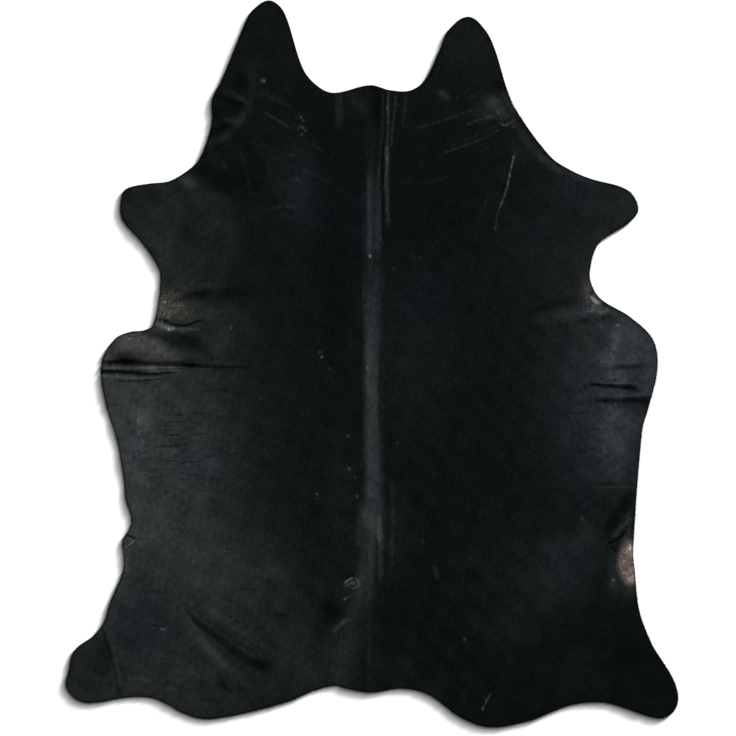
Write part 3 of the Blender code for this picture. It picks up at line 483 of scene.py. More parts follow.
# middle, half width and half length in cm
crackledZones = ((-56, 84, 13, 16), (64, 84, 11, 15))     # left and right flank
bareZones = (
    (-61, 125.8, 6, 6.2),  # left armpit
    (-70.6, 117.2, 4.5, 1),  # left belly corner
    (65.6, 129, 2.8, 4.6),  # right armpit
    (68, 125, 4, 1.2),  # right armpit, low
    (77.2, 49.2, 3.2, 6.8),  # bald patch
    (-74.6, 50.4, 1.2, 3.6),  # left rim strip
)

strokeShape = {
    "steep": 1.5,          # full over the middle third of its width, then a smooth ramp down
    "fade": 0.2,           # share of its length that fades at each end
    "atEnd": 0.12,         # how far up the fade's ramp it ends
    "grainWidth": 0.7,     # cm; wider strokes have less grain
}

scatterShape = {
    "seed": 57,
    "spread": 0.5,             # of the zone's half width and half length
    "bend": 0.12,              # of half the stroke's length, sideways at its middle
    "strength": (0.4, 1.3),    # of the grey levels
    "taper": 0.8,
    "greyToMm": 30,
}

coatLook = {
    "blackest": 7.0,       # grey levels, out of 255
    "black": 17.0,
    "gain": 2.03,          # albedo to the grey level's brightness
    "gloss": 0.0031,       # brightness that the coat's shine adds
    "least": (0.0001, 0.0005, 0.0004),
    "rimShade": 0.65,      # share of the level lost at the very rim
    "rimReach": 3.2 * mm,
    "softEdge": 2.4,       # powers of the patches' fall
    "crispEdge": 7.0,
    "crackledEdge": 2.0,
    "bareEdge": 4.0,
    "speckSpread": 0.75,
    "mottle": ((0.07, 21, 0.08), (0.025, 22, 0.08), (0.011, 24, 0.045)),   # size, seed, share
    "strandGrain": ((0.007, 31, 0.4),),
    "strandStretch": (1.0, 0.4),
    "softGrain": ((0.018, 32, 0.3),),
    "drift": (0.0, -0.3, 1.0),     # grey levels added where slow waves are high
    "driftWaves": (0.14, 23),
}

# grey levels added to red, green and blue
coatTints = {
    "neutral": (-3.0, 1.4, -0.4),
    "blue": (-3.2, 0.9, 3.8),
    "warm": (-1.2, 0.8, -0.6),
    "brown": (1.2, 0.8, -3.6),
    "pink": (10.5, -2.0, -6.0),
    "mauve": (1.5, -1.5, 1.5),
}


def lineReach(points, line):
    # least distance to the line's straight pieces, and how far along it that is, from 0 to 1
    knots = placed(line)
    run = np.diff(knots, axis=0)
    walked = np.concatenate(([0.0], np.cumsum(np.hypot(*run.T))))
    away = np.full(len(points), np.inf)
    along = np.zeros(len(points))
    for start, step, before, after in zip(knots, run, walked, walked[1:]):
        offset = points - start
        t = np.clip(offset @ step / (step @ step), 0, 1)
        gap = np.hypot(*(offset - t[:, None] * step).T)
        closer = gap < away
        away = np.where(closer, gap, away)
        along = np.where(closer, before + t * (after - before), along)
    return away, along / walked[-1]


def lineBox(line, half):
    # the box round a drawn line, grown by so many centimetres
    knots, reach = placed(line), half * drawing["metre"]
    return knots.min(axis=0) - reach, knots.max(axis=0) + reach


def nearLine(points, line, half):
    # which points are inside the line's grown box
    low, high = lineBox(line, half)
    return np.flatnonzero(((points > low) & (points < high)).all(axis=1))


def strokeShare(points, line, startHalf, endHalf):
    # a smooth ramp down from the line to its half width, times a smooth fade towards each end
    away, along = lineReach(points, line)
    half = (startHalf + (endHalf - startHalf) * along) * drawing["metre"]
    fade = smoothRamp(np.minimum(along, 1 - along) / strokeShape["fade"] + strokeShape["atEnd"])
    return smoothRamp(strokeShape["steep"] * (1 - away / half)) * fade


def scatteredStrokes():
    # strokes about the zone's middle, each bent a little halfway, as deep in mm as its grey asks
    shape = scatterShape
    draw = np.random.default_rng(shape["seed"])
    rows = []
    for count, middle, halves, turn, spread, lengths, half, grey in scatters:
        for _ in range(count):
            heart = np.array(middle) + draw.normal(0, shape["spread"], 2) * halves
            direction = math.radians(turn + draw.normal(0, spread))
            reach = np.array((math.cos(direction), math.sin(direction))) * draw.uniform(*lengths) / 2
            bend = reach[::-1] * (1, -1) * draw.uniform(-shape["bend"], shape["bend"])
            strength = grey * draw.uniform(*shape["strength"])
            line = heart - reach, heart + bend, heart + reach
            rows.append((half, half * shape["taper"], strength, strength / shape["greyToMm"], *line))
    return rows


marks = list(strokes) + scatteredStrokes()


def addStrokes(points, column, grain=None):
    # every stroke's share times its value in that column, the thin ones broken up by the grain
    total = np.zeros(len(points))
    for row in marks:
        startHalf, endHalf, _, _, *line = row
        half = max(startHalf, endHalf)
        near = nearLine(points, line, half)
        share = strokeShare(points[near], line, startHalf, endHalf) * row[column]
        if grain is not None:
            share *= 1 + grain[near] * min(1.0, strokeShape["grainWidth"] / half) ** 2
        total[near] += share
    return total


def patchShare(points, middle, halves, turn=0, power=2.0):
    # exp(-r^power), where r is the distance from the middle in half widths and half lengths
    c, s = math.cos(math.radians(turn)), math.sin(math.radians(turn))
    offset = (points - placed(middle)) / drawing["metre"]
    across = (offset[:, 0] * c + offset[:, 1] * s) / halves[0]
    along = (offset[:, 1] * c - offset[:, 0] * s) / halves[1]
    return np.exp(-np.hypot(across, along) ** power)


foldShape = {
    "fullInside": 0.055,      # full height this many metres inside the rim
    "endFade": 0.5,           # share of its length that rises from each end
    "uneven": ((0.05, 3, 0.16),),
}


def foldHeight(points):
    # the CAD's ridges: half a cosine wave across, where they meet the higher one, and flat at the rim
    height = np.zeros(len(points))
    for *ends, half, high, fromRim in folds:
        near = nearLine(points, ends, half)
        p = points[near]
        start, end = placed(ends)
        run = end - start
        length = np.hypot(*run)
        along = (p - start) @ run / length ** 2
        across = np.abs((p - start) @ np.array((-run[1], run[0]))) / length
        profile = 0.5 + 0.5 * np.cos(math.pi * np.clip(across / (half * drawing["metre"]), 0, 1))
        toEnd = 1 - along if fromRim else np.minimum(along, 1 - along)
        high = high * mm * profile * smoothRamp(toEnd / foldShape["endFade"])
        height[near] = np.maximum(height[near], high)
    uneven = 1 + waveSum(points, foldShape["uneven"])
    return height * uneven * smoothRamp(rimField.depth(points) / foldShape["fullInside"])


sheetShape = {
    "thickness": 3.1 * mm,     # leather and the dense undercoat
    "ripple": 0.45 * mm,
    "rippleWaves": ((0.11, 8, 0.6), (0.035, 9, 0.4)),
    "lattice": 2.1 * mm,       # finest step of the coat's mesh
    "openEvery": 4,            # steps between points on open leather
    "foldMargin": 0.4,         # cm round a fold
    "wideFold": 2,             # cm; a wider fold gets every third step, and others every second
    "strokeMargin": 0.12,
    "softStroke": (1.4, 1.0),  # cm and mm; wider and lower strokes need no finer mesh
    "fineStroke": (1.0, 0.45), # thinner and deeper ones get every step
    "speckMargin": 1.4,
    "rimGap": 5.5 * mm,
    "underStep": 24 * mm,
    "narrowFold": 1.7,         # cm; every third step below a narrower fold, and every sixth below others
    "underGap": 8 * mm,
}


def coatHeight(points):
    # the underside's folds, the sheet's thickness, a slight ripple, and the strokes' ridges and troughs
    ripple = sheetShape["ripple"] * waveSum(points, sheetShape["rippleWaves"])
    strokesUp = addStrokes(points, raisedColumn) * mm
    return foldHeight(points) + sheetShape["thickness"] + ripple + strokesUp


def zoneShare(points, zones, power):
    # the strongest of the zones' patches
    return np.max([patchShare(points, (x, y), halves, 0, power) for x, y, *halves in zones], axis=0)


def coatShares(points):
    # how far the coat is crackled and how far it is bare
    crackled = zoneShare(points, crackledZones, coatLook["crackledEdge"])
    return crackled, zoneShare(points, bareZones, coatLook["bareEdge"])


def toLinear(display):
    # the usual curve from display values to light
    return np.where(display <= 0.04045, display / 12.92, ((np.maximum(display, 0) + 0.055) / 1.055) ** 2.4)


def coatColour(points, shift=0.0):
    # grey levels summed from the patches, strokes and specks (some are painted sheen, highlight and shade),
    # tinted, then turned into an albedo
    level = np.full(len(points), coatLook["black"])
    tint = np.tile(np.array(coatTints["neutral"]), (len(points), 1))
    soft, crisp = coatLook["softEdge"], coatLook["crispEdge"]
    for table, power in ((patches, soft), (tintedPatches, soft), (crispPatches, crisp)):
        for x, y, wide, long, turn, grey, *colours in table:
            share = patchShare(points, (x, y), (wide, long), turn, power)
            level += grey * share
            for colour in colours:
                tint += (np.array(coatTints[colour]) - tint) * share[:, None]
    for x, y, radius, grey in specks:
        spread = radius * coatLook["speckSpread"]
        level += grey * patchShare(points, (x, y), (spread, spread))
    grain = waveSum(points * coatLook["strandStretch"], coatLook["strandGrain"])
    grain += waveSum(points, coatLook["softGrain"])
    level += addStrokes(points, greyColumn, grain)
    level = np.maximum(level * (1 + waveSum(points, coatLook["mottle"]) + shift), coatLook["blackest"])
    inFromRim = np.maximum(rimField.depth(points), 0) / coatLook["rimReach"]
    level *= 1 - coatLook["rimShade"] * np.exp(-inFromRim ** 2)
    drift = np.maximum(softWaves(points, *coatLook["driftWaves"]), 0)
    tint += drift[:, None] * np.array(coatLook["drift"])
    bright = toLinear((level[:, None] + tint) / 255)
    return np.maximum(bright - coatLook["gloss"], coatLook["least"]) * coatLook["gain"]


class Wire:
    # a socket that does maths: an expression on values adds its Math nodes

    def __init__(self, tree, socket):
        self.tree, self.socket = tree, socket

    def maths(self, operation, *values):
        node = self.tree.nodes.new("ShaderNodeMath")
        node.operation = operation
        for slot, value in zip(node.inputs, values):
            join(self.tree, slot, value)
        return Wire(self.tree, node.outputs[0])

    def __add__(self, other):
        return self.maths("ADD", self, other)

    def __sub__(self, other):
        return self.maths("SUBTRACT", self, other)

    def __mul__(self, other):
        return self.maths("MULTIPLY", self, other)

    def __rsub__(self, other):
        return self.maths("SUBTRACT", other, self)

    def __abs__(self):
        return self.maths("ABSOLUTE", self)

    __radd__, __rmul__ = __add__, __mul__


def join(tree, slot, value):
    # a link where the value is a Wire, and the socket's own value otherwise
    if isinstance(value, Wire):
        tree.links.new(value.socket, slot)
    else:
        slot.default_value = value


class Finish:
    # a material and its Principled shader

    def __init__(self, name, **constants):
        self.material = bpy.data.materials.new(name)
        self.material.use_nodes = True
        self.tree = self.material.node_tree
        self.shader = self.tree.nodes["Principled BSDF"]
        self.set(**constants)

    def node(self, kind, settings=(), out=0, **inputs):
        # the node's settings first, then the values or links of its sockets
        made = self.tree.nodes.new("ShaderNode" + kind)
        for name, value in dict(settings).items():
            setattr(made, name, value)
        for name, value in inputs.items():
            key = int(name[1:]) if name[1:].isdigit() else name.replace("_", " ")
            join(self.tree, made.inputs[key], value)
        return Wire(self.tree, made.outputs[out])

    def set(self, **inputs):
        for name, value in inputs.items():
            join(self.tree, self.shader.inputs[name.replace("_", " ")], value)

    def noise(self, stretch, detail, **inputs):
        # a Noise texture on Object coordinates, stretched; a larger number is a finer grain
        where = self.node("TexCoord", out="Object")
        at = self.node("VectorMath", {"operation": "MULTIPLY"}, i0=where, i1=stretch)
        return self.node("TexNoise", Vector=at, Scale=1.0, Detail=detail, **inputs)

    def ramp(self, value, low, high):
        # 0 below low to 1 above high
        smooth = {"interpolation_type": "SMOOTHSTEP"}
        return self.node("MapRange", smooth, Value=value, From_Min=low, From_Max=high)

    def mix(self, share, a, b, blend="MIX"):
        return self.node("Mix", {"data_type": "RGBA", "blend_type": blend}, out=2, i0=share, i6=a, i7=b)

    def bump(self, strength, distance, height):
        self.set(Normal=self.node("Bump", Strength=strength, Distance=distance, Height=height))


coatFinish = {
    "roughness": (0.42, 0.14),      # middle and span
    "shine": 0.075,                 # Specular IOR Level
    "shineTint": (0.93, 1.0, 0.97, 1),
    "bump": (0.45, 0.38 * mm),
    "mottle": (0.87, 1.14),
    "clouds": (34, 22, 34),         # the grain of each noise, across, along and up
    "strands": (900, 110, 200),
    "cracks": (7, 46, 7),
    "flecks": (260, 260, 260),
    "cloudRamp": (0.3, 0.7),
    "crackRamp": (0.004, 0.022),    # from the middle of the noise
    "paleRamp": (0.54, 0.66),
    "darkRamp": (-0.46, -0.34),
    "crackDark": 0.34,
    "fleckPale": 1.1,
    "fleckDark": 0.5,
    "strandRelief": 0.8,
    "crackRelief": 0.6,
}


def cowhair():
    # colour from the coat's attribute, mottled and crackled; strand-fine bump runs down the hide
    look = coatFinish
    finish = Finish("cowhair", Specular_IOR_Level=look["shine"], Specular_Tint=look["shineTint"], Metallic=0.0)
    colour = finish.node("Attribute", {"attribute_name": "coatColour"}, out="Color")
    crackled = finish.node("Attribute", {"attribute_name": "crackled"}, out="Fac")
    bare = finish.node("Attribute", {"attribute_name": "bare"}, out="Fac")
    clouds = finish.noise(look["clouds"], 3.0)
    strands = finish.noise(look["strands"], 2.0)
    low, high = look["mottle"]
    shade = low + finish.ramp(clouds, *look["cloudRamp"]) * (high - low) * 0.5 + strands * (high - low) * 0.5
    cracks = finish.noise(look["cracks"], 4.0, Roughness=0.6)
    crack = (1.0 - finish.ramp(abs(cracks - 0.5), *look["crackRamp"])) * crackled
    flecks = finish.noise(look["flecks"], 1.0)
    pale = finish.ramp(flecks, *look["paleRamp"]) * bare
    dark = finish.ramp(0.0 - flecks, *look["darkRamp"]) * bare
    shade = shade * (1.0 - crack * look["crackDark"])
    shade = shade * (1.0 + pale * look["fleckPale"] - dark * look["fleckDark"])
    grey = finish.node("CombineXYZ", X=shade, Y=shade, Z=shade)
    middle, span = look["roughness"]
    finish.set(Base_Color=finish.mix(1.0, colour, grey, "MULTIPLY"))
    finish.set(Roughness=middle + strands * span - span / 2)
    finish.bump(*look["bump"], strands * look["strandRelief"] - crack * look["crackRelief"])
    return finish.material


suedeFinish = {
    "tan": ((0.30, 0.235, 0.175, 1), (0.41, 0.335, 0.26, 1)),
    "napDark": (0.22, 0.17, 0.125, 1),
    "napShare": 0.5,
    "blotches": (9, 9, 9),
    "blotchRamp": (0.3, 0.7),
    "nap": (420, 420, 420),
    "shine": 0.12,
    "roughness": (0.86, 0.1),       # least and span
    "bump": (0.5, 0.5 * mm),
}


def suede():
    # the flesh side: pale tan nap with slow blotches and short fibres
    look = suedeFinish
    finish = Finish("suede", Specular_IOR_Level=look["shine"], Metallic=0.0)
    blotch = finish.noise(look["blotches"], 4.0)
    nap = finish.noise(look["nap"], 3.0)
    tan = finish.mix(finish.ramp(blotch, *look["blotchRamp"]), *look["tan"])
    least, span = look["roughness"]
    finish.set(Base_Color=finish.mix(nap * look["napShare"], tan, look["napDark"]))
    finish.set(Roughness=least + nap * span)
    finish.bump(*look["bump"], nap)
    return finish.material


edgeFinish = {
    "skin": ((0.10, 0.085, 0.07, 1), (0.20, 0.17, 0.14, 1)),
    "grain": (300, 300, 900),
    "shine": 0.2,
    "roughness": (0.72, 0.12),
    "bump": (0.4, 0.3 * mm),
}


def cutLeather():
    # the trimmed edge: grey-tan skin with a fine grain
    look = edgeFinish
    finish = Finish("cutLeather", Specular_IOR_Level=look["shine"], Metallic=0.0)
    grain = finish.noise(look["grain"], 3.0)
    least, span = look["roughness"]
    finish.set(Base_Color=finish.mix(grain, *look["skin"]), Roughness=least + grain * span)
    finish.bump(*look["bump"], grain)
    return finish.material


finishes = {"cowhair": cowhair(), "cutLeather": cutLeather(), "suede": suede()}
print("finishes made")


def newPiece(name, corners, faces, slots, finishNames, colours, shares, uv):
    # vertices, triangles, each triangle's material slot, and the attributes that its finish reads
    mesh = bpy.data.meshes.new(name)
    mesh.vertices.add(len(corners))
    mesh.vertices.foreach_set("co", corners.astype(np.float32).ravel())
    mesh.loops.add(faces.size)
    mesh.loops.foreach_set("vertex_index", faces.astype(np.int32).ravel())
    mesh.polygons.add(len(faces))
    mesh.polygons.foreach_set("loop_start", np.arange(0, faces.size, 3, dtype=np.int32))
    mesh.polygons.foreach_set("material_index", slots.astype(np.int32))
    mesh.update(calc_edges=True)
    paint = mesh.attributes.new("coatColour", "FLOAT_COLOR", "POINT")
    opaque = np.column_stack((colours, np.ones(len(corners))))
    paint.data.foreach_set("color", opaque.astype(np.float32).ravel())
    for attribute, values in zip(("crackled", "bare"), shares):
        mesh.attributes.new(attribute, "FLOAT", "POINT").data.foreach_set("value", values.astype(np.float32))
    layer = mesh.uv_layers.new(name="OFBake")
    layer.data.foreach_set("uv", uv.astype(np.float32).ravel())
    for finishName in finishNames:
        mesh.materials.append(finishes[finishName])
    mesh.validate()
    piece = bpy.data.objects.new(name, mesh)
    bpy.context.scene.collection.objects.link(piece)
    return piece


def triangulated(points, loopCount):
    # a constrained Delaunay mesh of the points, the first of which are the loop, turned to face up
    flat = [Vector(p) for p in points]
    corners, _, faces, _, _, _ = delaunay_2d_cdt(flat, [], [list(range(loopCount))], 1, 1e-7)
    xy = np.array([c.to_tuple() for c in corners])
    tri = np.array(faces)
    a, b, c = xy[tri[:, 0]], xy[tri[:, 1]], xy[tri[:, 2]]
    up = (b[:, 0] - a[:, 0]) * (c[:, 1] - a[:, 1]) - (b[:, 1] - a[:, 1]) * (c[:, 0] - a[:, 0])
    tri[up < 0] = tri[up < 0][:, ::-1]
    return xy, tri


def latticePoints(low, high, every):
    # a skewed lattice of even triangles, every so many steps of the finest one
    step = sheetShape["lattice"]
    rise = step * math.sqrt(0.75)
    j = np.arange(math.floor(low[1] / rise / every), math.ceil(high[1] / rise / every) + 1) * every
    left, right = low[0] / step - j.max() / 2, high[0] / step - j.min() / 2
    i = np.arange(math.floor(left / every), math.ceil(right / every) + 1) * every
    return np.stack(np.meshgrid(i, j), axis=-1).reshape(-1, 2)


def latticePlaces(index):
    # x is the column plus half the row, and y is the row times the root of 3/4
    step = sheetShape["lattice"]
    return np.column_stack(((index[:, 0] + index[:, 1] / 2) * step, index[:, 1] * step * math.sqrt(0.75)))


def latticeAlong(line, half, every):
    # the lattice's points within so many centimetres of a drawn line
    index = latticePoints(*lineBox(line, half), every)
    away, _ = lineReach(latticePlaces(index), line)
    return index[away < half * drawing["metre"]]


def sheetPoints():
    # open leather first, then finer steps round the folds, and the finest along thin strokes and specks
    shape = sheetShape
    chosen = [latticePoints(rim.min(axis=0), rim.max(axis=0), shape["openEvery"])]
    for *ends, half, _, _ in folds:
        chosen.append(latticeAlong(ends, half + shape["foldMargin"], 3 if half > shape["wideFold"] else 2))
    for startHalf, endHalf, _, raised, *line in marks:
        wide, deep = max(startHalf, endHalf), abs(raised)
        if min(startHalf, endHalf) > shape["softStroke"][0] and deep < shape["softStroke"][1]:
            continue
        fine = wide < shape["fineStroke"][0] and deep > shape["fineStroke"][1]
        chosen.append(latticeAlong(line, wide + shape["strokeMargin"], 1 if fine else 2))
    for x, y, radius, _ in specks:
        spot, reach = placed((x, y)), radius * shape["speckMargin"] * drawing["metre"]
        index = latticePoints(spot - reach, spot + reach, 1)
        chosen.append(index[np.hypot(*(latticePlaces(index) - spot).T) < reach])
    places = latticePlaces(np.unique(np.vstack(chosen), axis=0))
    return places[rimField.depth(places) > shape["rimGap"]]


def underPoints():
    # a wide lattice, and finer steps below the folds
    shape = sheetShape
    every = round(shape["underStep"] / shape["lattice"])
    chosen = [latticePlaces(latticePoints(rim.min(axis=0), rim.max(axis=0), every))]
    for *ends, half, _, _ in folds:
        every = 3 if half < shape["narrowFold"] else 6
        chosen.append(latticePlaces(latticePoints(*lineBox(ends, half), every)))
    places = np.unique(np.vstack(chosen).round(6), axis=0)
    return places[rimField.depth(places) > shape["underGap"]]


# the sheet's rim, from its underside round the cut edge to the coat: mm in from the rim, share of the thickness
rimProfile = ((1.6, 0.0), (0.5, 0.10), (0.2, 0.42), (0.0, 0.66), (0.7, 0.90), (2.2, 0.985), (4.0, 1.0))
edgeBands = 2     # the profile's first bands are cut leather, and the rest hair
hideFinishes = ("cowhair", "cutLeather", "suede")
hairSlot, edgeSlot, suedeSlot = 0, 1, 2
bakeMap = {"margin": 0.01, "share": 0.48}     # metres round the plan, and the share of the map that it takes


def buildHide():
    # rings of the rim profile carried round the outline, closed by the coat's mesh above and the suede's below
    inward = inwardNormals(rim)
    rings = []
    for inset, share in rimProfile:
        xy = rim + inward * inset * mm
        under, over = foldHeight(xy), coatHeight(xy)
        rings.append(np.column_stack((xy, under + (over - under) * share)))
    count = len(rim)
    coatXy, coatTri = triangulated(np.vstack((rings[-1][:, :2], sheetPoints())), count)
    underXy, underTri = triangulated(np.vstack((rings[0][:, :2], underPoints())), count)
    coat = np.column_stack((coatXy, coatHeight(coatXy)))
    under = np.column_stack((underXy, foldHeight(underXy)))
    corners = np.vstack((coat, under, *rings[1:-1]))
    wallStart = len(coat) + len(under)
    ringAt = [len(coat) + np.arange(count)]
    ringAt += [wallStart + k * count + np.arange(count) for k in range(len(rings) - 2)]
    ringAt += [np.arange(count)]
    faces = [coatTri, underTri[:, ::-1] + len(coat)]
    slots = [np.full(len(coatTri), hairSlot), np.full(len(underTri), suedeSlot)]
    for k, (below, above) in enumerate(zip(ringAt, ringAt[1:])):
        b, a = np.roll(below, -1), np.roll(above, -1)
        faces += [np.column_stack((below, above, b)), np.column_stack((b, above, a))]
        slots += [np.full(2 * count, edgeSlot if k < edgeBands else hairSlot)]
    faces, slots = np.vstack(faces), np.concatenate(slots)
    # the bake's map: the coat's side on the left half, the suede's mirrored on the right, walls with the coat
    margin, share = bakeMap["margin"], bakeMap["share"]
    size = (rim.max(axis=0) - rim.min(axis=0) + 2 * margin).max()
    plan = (corners[faces.ravel(), :2] - (rim.min(axis=0) - margin)) / size
    plan[:, 0] = np.where(np.repeat(slots == suedeSlot, 3), 1 - plan[:, 0] * share, plan[:, 0] * share)
    colours, shares = coatColour(corners[:, :2]), coatShares(corners[:, :2])
    piece = newPiece("hideSheet", corners, faces, slots, hideFinishes, colours, shares, plan)
    piece.data.shade_smooth()
    return piece


hideSheet = buildHide()
print("hide sheet:", len(hideSheet.data.polygons), "triangles")


# the coat: short locks of hair lying flat, down the back and out over the flanks
lockShape = {
    "spacing": 3.95 * mm,
    "jitter": 0.55,             # of the spacing
    "length": (9.5 * mm, 14.0 * mm),
    "leastLength": 3.5 * mm,
    "width": (1.1 * mm, 1.7 * mm),
    "crest": (0.35 * mm, 0.75 * mm),
    "crestAlong": 0.34,
    "tip": (0.25 * mm, 0.9 * mm),
    "sink": 0.25 * mm,
    "overhang": 2.6 * mm,
    "leastOverhang": 0.3,       # of the full one
    "droop": 0.5,               # down for each 1 past the rim
    "rimGap": 1.2 * mm,
    "rimSpacing": 2.2 * mm,
    "rimStep": 4.45 * mm,       # between the points of the rim
    "rimInset": (1.2, 4.5),     # mm
    "thinned": 0.5,             # share of the locks missing where the coat is bare
    "sway": (0.13, 0.9),        # radians, on the coat and where it is bare
    "bareShort": 0.55,
    "bareWide": 0.3,
    "shade": 0.05,
    "bareShade": (2.6, 0.55),
    "rootShade": -0.10,
    "tipShade": 0.03,
}

flowShape = {
    "reach": 0.8,          # metres from the spine to where the hair turns outwards in full
    "outwards": 0.9,       # for each 1 backwards
    "legs": ((0.48, 0.16, 1.3), (-0.92, 0.2, 0.7)),     # middle and reach in metres, and how much more outwards
    "waves": ((0.22, 31, 0.16), (0.05, 32, 0.08)),
    # middle, half width and half length in cm, radians turned at the middle
    "whorls": ((35.5, 184, 6, 6, 2.0), (66, 60, 7, 8, -1.6), (-62, 60, 7, 8, 1.2)),
}


def hairFlow(points):
    # back along the spine, turning outwards over flanks and legs, with slow waves and the whorls
    x, y = points.T
    side = np.sign(x) * smoothRamp(np.abs(x) / flowShape["reach"])
    legs = sum(more * np.exp(-((y - middle) / reach) ** 2) for middle, reach, more in flowShape["legs"])
    turn = np.arctan2(-1.0, side * (flowShape["outwards"] + legs)) + waveSum(points, flowShape["waves"])
    for *middle, wide, long, radians in flowShape["whorls"]:
        turn += radians * patchShare(points, middle, (wide, long))
    return turn


def lockRoots():
    # a jittered lattice over the hide, thinned where the coat is bare, and a closer row along the rim
    shape = lockShape
    step = shape["spacing"]
    low, high = rim.min(axis=0), rim.max(axis=0)
    x, y = np.arange(low[0], high[0], step), np.arange(low[1], high[1], step)
    field = np.stack(np.meshgrid(x, y), axis=-1).reshape(-1, 2)
    field = field + rng.uniform(-shape["jitter"], shape["jitter"], field.shape) * step
    field = field[rimField.depth(field) > shape["rimGap"]]
    edge = evenLoop(rim, round(len(rim) * shape["rimStep"] / shape["rimSpacing"]))
    edge = edge + inwardNormals(edge) * rng.uniform(*shape["rimInset"], (len(edge), 1)) * mm
    roots = np.vstack((field, edge))
    keep = rng.uniform(0, 1, len(roots)) > shape["thinned"] * coatShares(roots)[1]
    return roots[keep]


def buildLocks(name, roots):
    # each lock is a closed four-sided wedge: two root corners, a crest a third along it, and a tip
    shape = lockShape
    count = len(roots)
    crackle, bare = coatShares(roots)
    sway, bareSway = shape["sway"]
    turn = hairFlow(roots) + rng.normal(0, sway, count) + bare * rng.normal(0, bareSway, count)
    length = rng.uniform(*shape["length"], count) * (1 - shape["bareShort"] * bare)
    width = rng.uniform(*shape["width"], count) * (1 + shape["bareWide"] * bare)
    heading = np.column_stack((np.cos(turn), np.sin(turn)))
    beyond = -rimField.depth(roots + heading * length[:, None])
    overhang = shape["overhang"] * rng.uniform(shape["leastOverhang"], 1, count)
    tooFar = np.maximum(beyond - overhang, 0)
    length = np.maximum(length - tooFar, shape["leastLength"])
    beside = np.column_stack((-heading[:, 1], heading[:, 0])) * width[:, None] / 2
    tipAt = roots + heading * length[:, None]
    crestAt = roots + heading * length[:, None] * shape["crestAlong"]
    over = np.maximum(-rimField.depth(tipAt), 0)
    rootZ = coatHeight(roots) - shape["sink"]
    crestZ = coatHeight(crestAt) + rng.uniform(*shape["crest"], count)
    tipZ = coatHeight(tipAt) + rng.uniform(*shape["tip"], count) - over * shape["droop"]
    corners = np.empty((count, 4, 3))
    corners[:, 0] = np.column_stack((roots + beside, rootZ))
    corners[:, 1] = np.column_stack((roots - beside, rootZ))
    corners[:, 2] = np.column_stack((crestAt, crestZ))
    corners[:, 3] = np.column_stack((tipAt, tipZ))
    wedge = np.array(((0, 2, 3), (1, 3, 2), (0, 1, 2), (0, 3, 1)))
    faces = (np.arange(count)[:, None, None] * 4 + wedge).reshape(-1, 3)
    brightest, darkest = shape["bareShade"]
    shift = rng.normal(0, shape["shade"], count)
    shift = shift + bare * (rng.uniform(0, 1, count) ** 3 * brightest - darkest)
    colours = np.empty((count, 4, 3))
    colours[:, 0] = colours[:, 1] = coatColour(roots, shift + shape["rootShade"])
    colours[:, 2] = coatColour(crestAt, shift)
    colours[:, 3] = coatColour(tipAt, shift + shape["tipShade"])
    shares = np.repeat(crackle, 4), np.repeat(bare, 4)
    corners, colours = corners.reshape(-1, 3), colours.reshape(-1, 3)
    low, size = corners[:, :2].min(axis=0), np.ptp(corners[:, :2], axis=0).max()
    uv = (corners[faces.ravel(), :2] - low) / size * 0.998 + 0.001
    piece = newPiece(name, corners, faces, np.zeros(len(faces)), ("cowhair",), colours, shares, uv)
    print(name, len(piece.data.polygons), "triangles")
    return piece


roots = lockRoots()
roots = roots[np.argsort(-roots[:, 1], kind="stable")]
coatNames = ("coatNeck", "coatShoulders", "coatBack", "coatRump")
coat = [buildLocks(name, band) for name, band in zip(coatNames, np.array_split(roots, 4))]

for piece in [hideSheet] + coat:
    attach(piece, "root")
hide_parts("hide")


studio = {
    "floor": (0.86, 0.86, 0.86, 1),
    "floorRoughness": 0.95,
    "floorHalf": 40.0,
    "floorDrop": 0.4 * mm,
    "frameWidth": 736 * 3 * mm,        # metres across the picture
    "centre": (-0.012, -0.0125),
    "lens": 100.0,
    "sensor": 36.0,
    "farClip": 100.0,
    "world": 0.13,
    "lightDistance": 9.0,
}

# name, azimuth from +X towards +Y and elevation in degrees, strength, width in degrees, what it falls on
lights = (
    ("floor light, lowest", 45, 7.2, 13.3, 4, "floor"),
    ("floor light, low", 45, 11, 4.3, 5, "floor"),
    ("floor light, middle", 45, 19, 1.85, 10, "floor"),
    ("floor light, high", 45, 34, 0.6, 20, "floor"),
    ("hide light, key", 50, 60, 1.55, 45, "hide"),
    ("hide light, fill", 215, 35, 0.5, 60, "hide"),
)


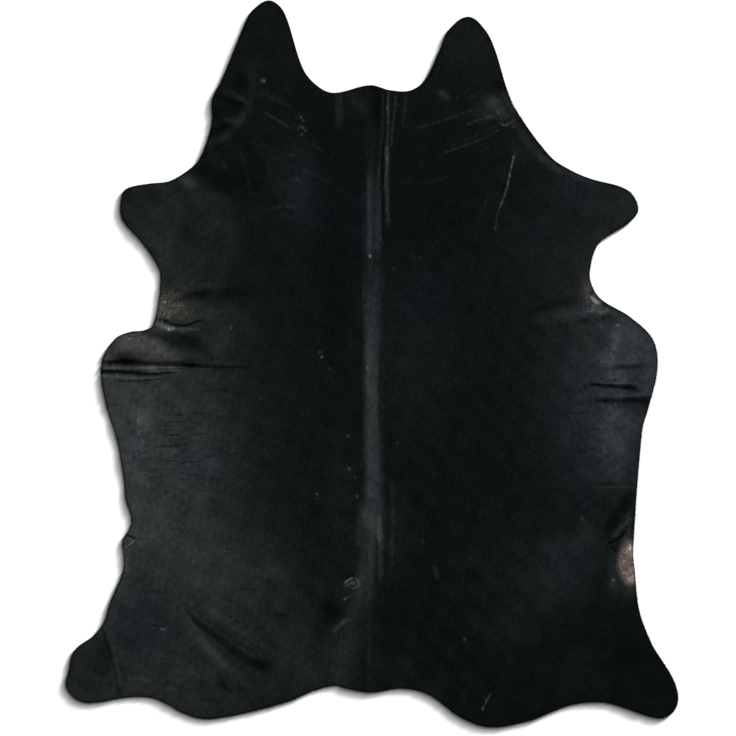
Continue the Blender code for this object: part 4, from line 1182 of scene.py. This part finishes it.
def buildFloor():
    # one flat square, just under the hide
    half, down = studio["floorHalf"], -studio["floorDrop"]
    mesh = bpy.data.meshes.new("floor")
    corners = [(-half, -half, down), (half, -half, down), (half, half, down), (-half, half, down)]
    mesh.from_pydata(corners, [], [(0, 1, 2, 3)])
    roughness, colour = studio["floorRoughness"], studio["floor"]
    finish = Finish("paleFloor", Specular_IOR_Level=0.0, Roughness=roughness, Base_Color=colour)
    mesh.materials.append(finish.material)
    floor = bpy.data.objects.new("floor", mesh)
    bpy.context.scene.collection.objects.link(floor)
    return floor


def hungLight(name, azimuth, elevation, strength, width, onto):
    # a sun aimed at the hide's middle
    a, e = math.radians(azimuth), math.radians(elevation)
    back = Vector((math.cos(a) * math.cos(e), math.sin(a) * math.cos(e), math.sin(e)))
    light = bpy.data.lights.new(name, "SUN")
    light.energy = strength
    light.angle = math.radians(width)
    lamp = bpy.data.objects.new(name, light)
    lamp.location = back * studio["lightDistance"]
    lamp.rotation_mode = "QUATERNION"
    lamp.rotation_quaternion = back.to_track_quat("Z", "Y")
    lamp.light_linking.receiver_collection = onto
    bpy.context.scene.collection.objects.link(lamp)


def lightGroup(name, pieces):
    # the pieces that a light falls on
    group = bpy.data.collections.new(name)
    for piece in pieces:
        group.objects.link(piece)
    return group


def buildWorld():
    # one pale grey all round
    world = bpy.data.worlds.new("studio")
    world.use_nodes = True
    background = world.node_tree.nodes["Background"]
    background.inputs["Color"].default_value = (1, 1, 1, 1)
    background.inputs["Strength"].default_value = studio["world"]
    bpy.context.scene.world = world


def buildCamera():
    # straight above, as far up as the picture's width asks of the lens
    lens = bpy.data.cameras.new("camera")
    lens.lens, lens.sensor_width = studio["lens"], studio["sensor"]
    lens.clip_end = studio["farClip"]
    camera = bpy.data.objects.new("camera", lens)
    camera.location = (*studio["centre"], studio["frameWidth"] * studio["lens"] / studio["sensor"])
    bpy.context.scene.collection.objects.link(camera)
    bpy.context.scene.camera = camera


groups = {"floor": lightGroup("floorLit", [buildFloor()]), "hide": lightGroup("hideLit", [hideSheet] + coat)}
buildWorld()
for *light, onto in lights:
    hungLight(*light, groups[onto])
buildCamera()
bpy.context.scene.view_settings.view_transform = "Standard"
print("studio set")
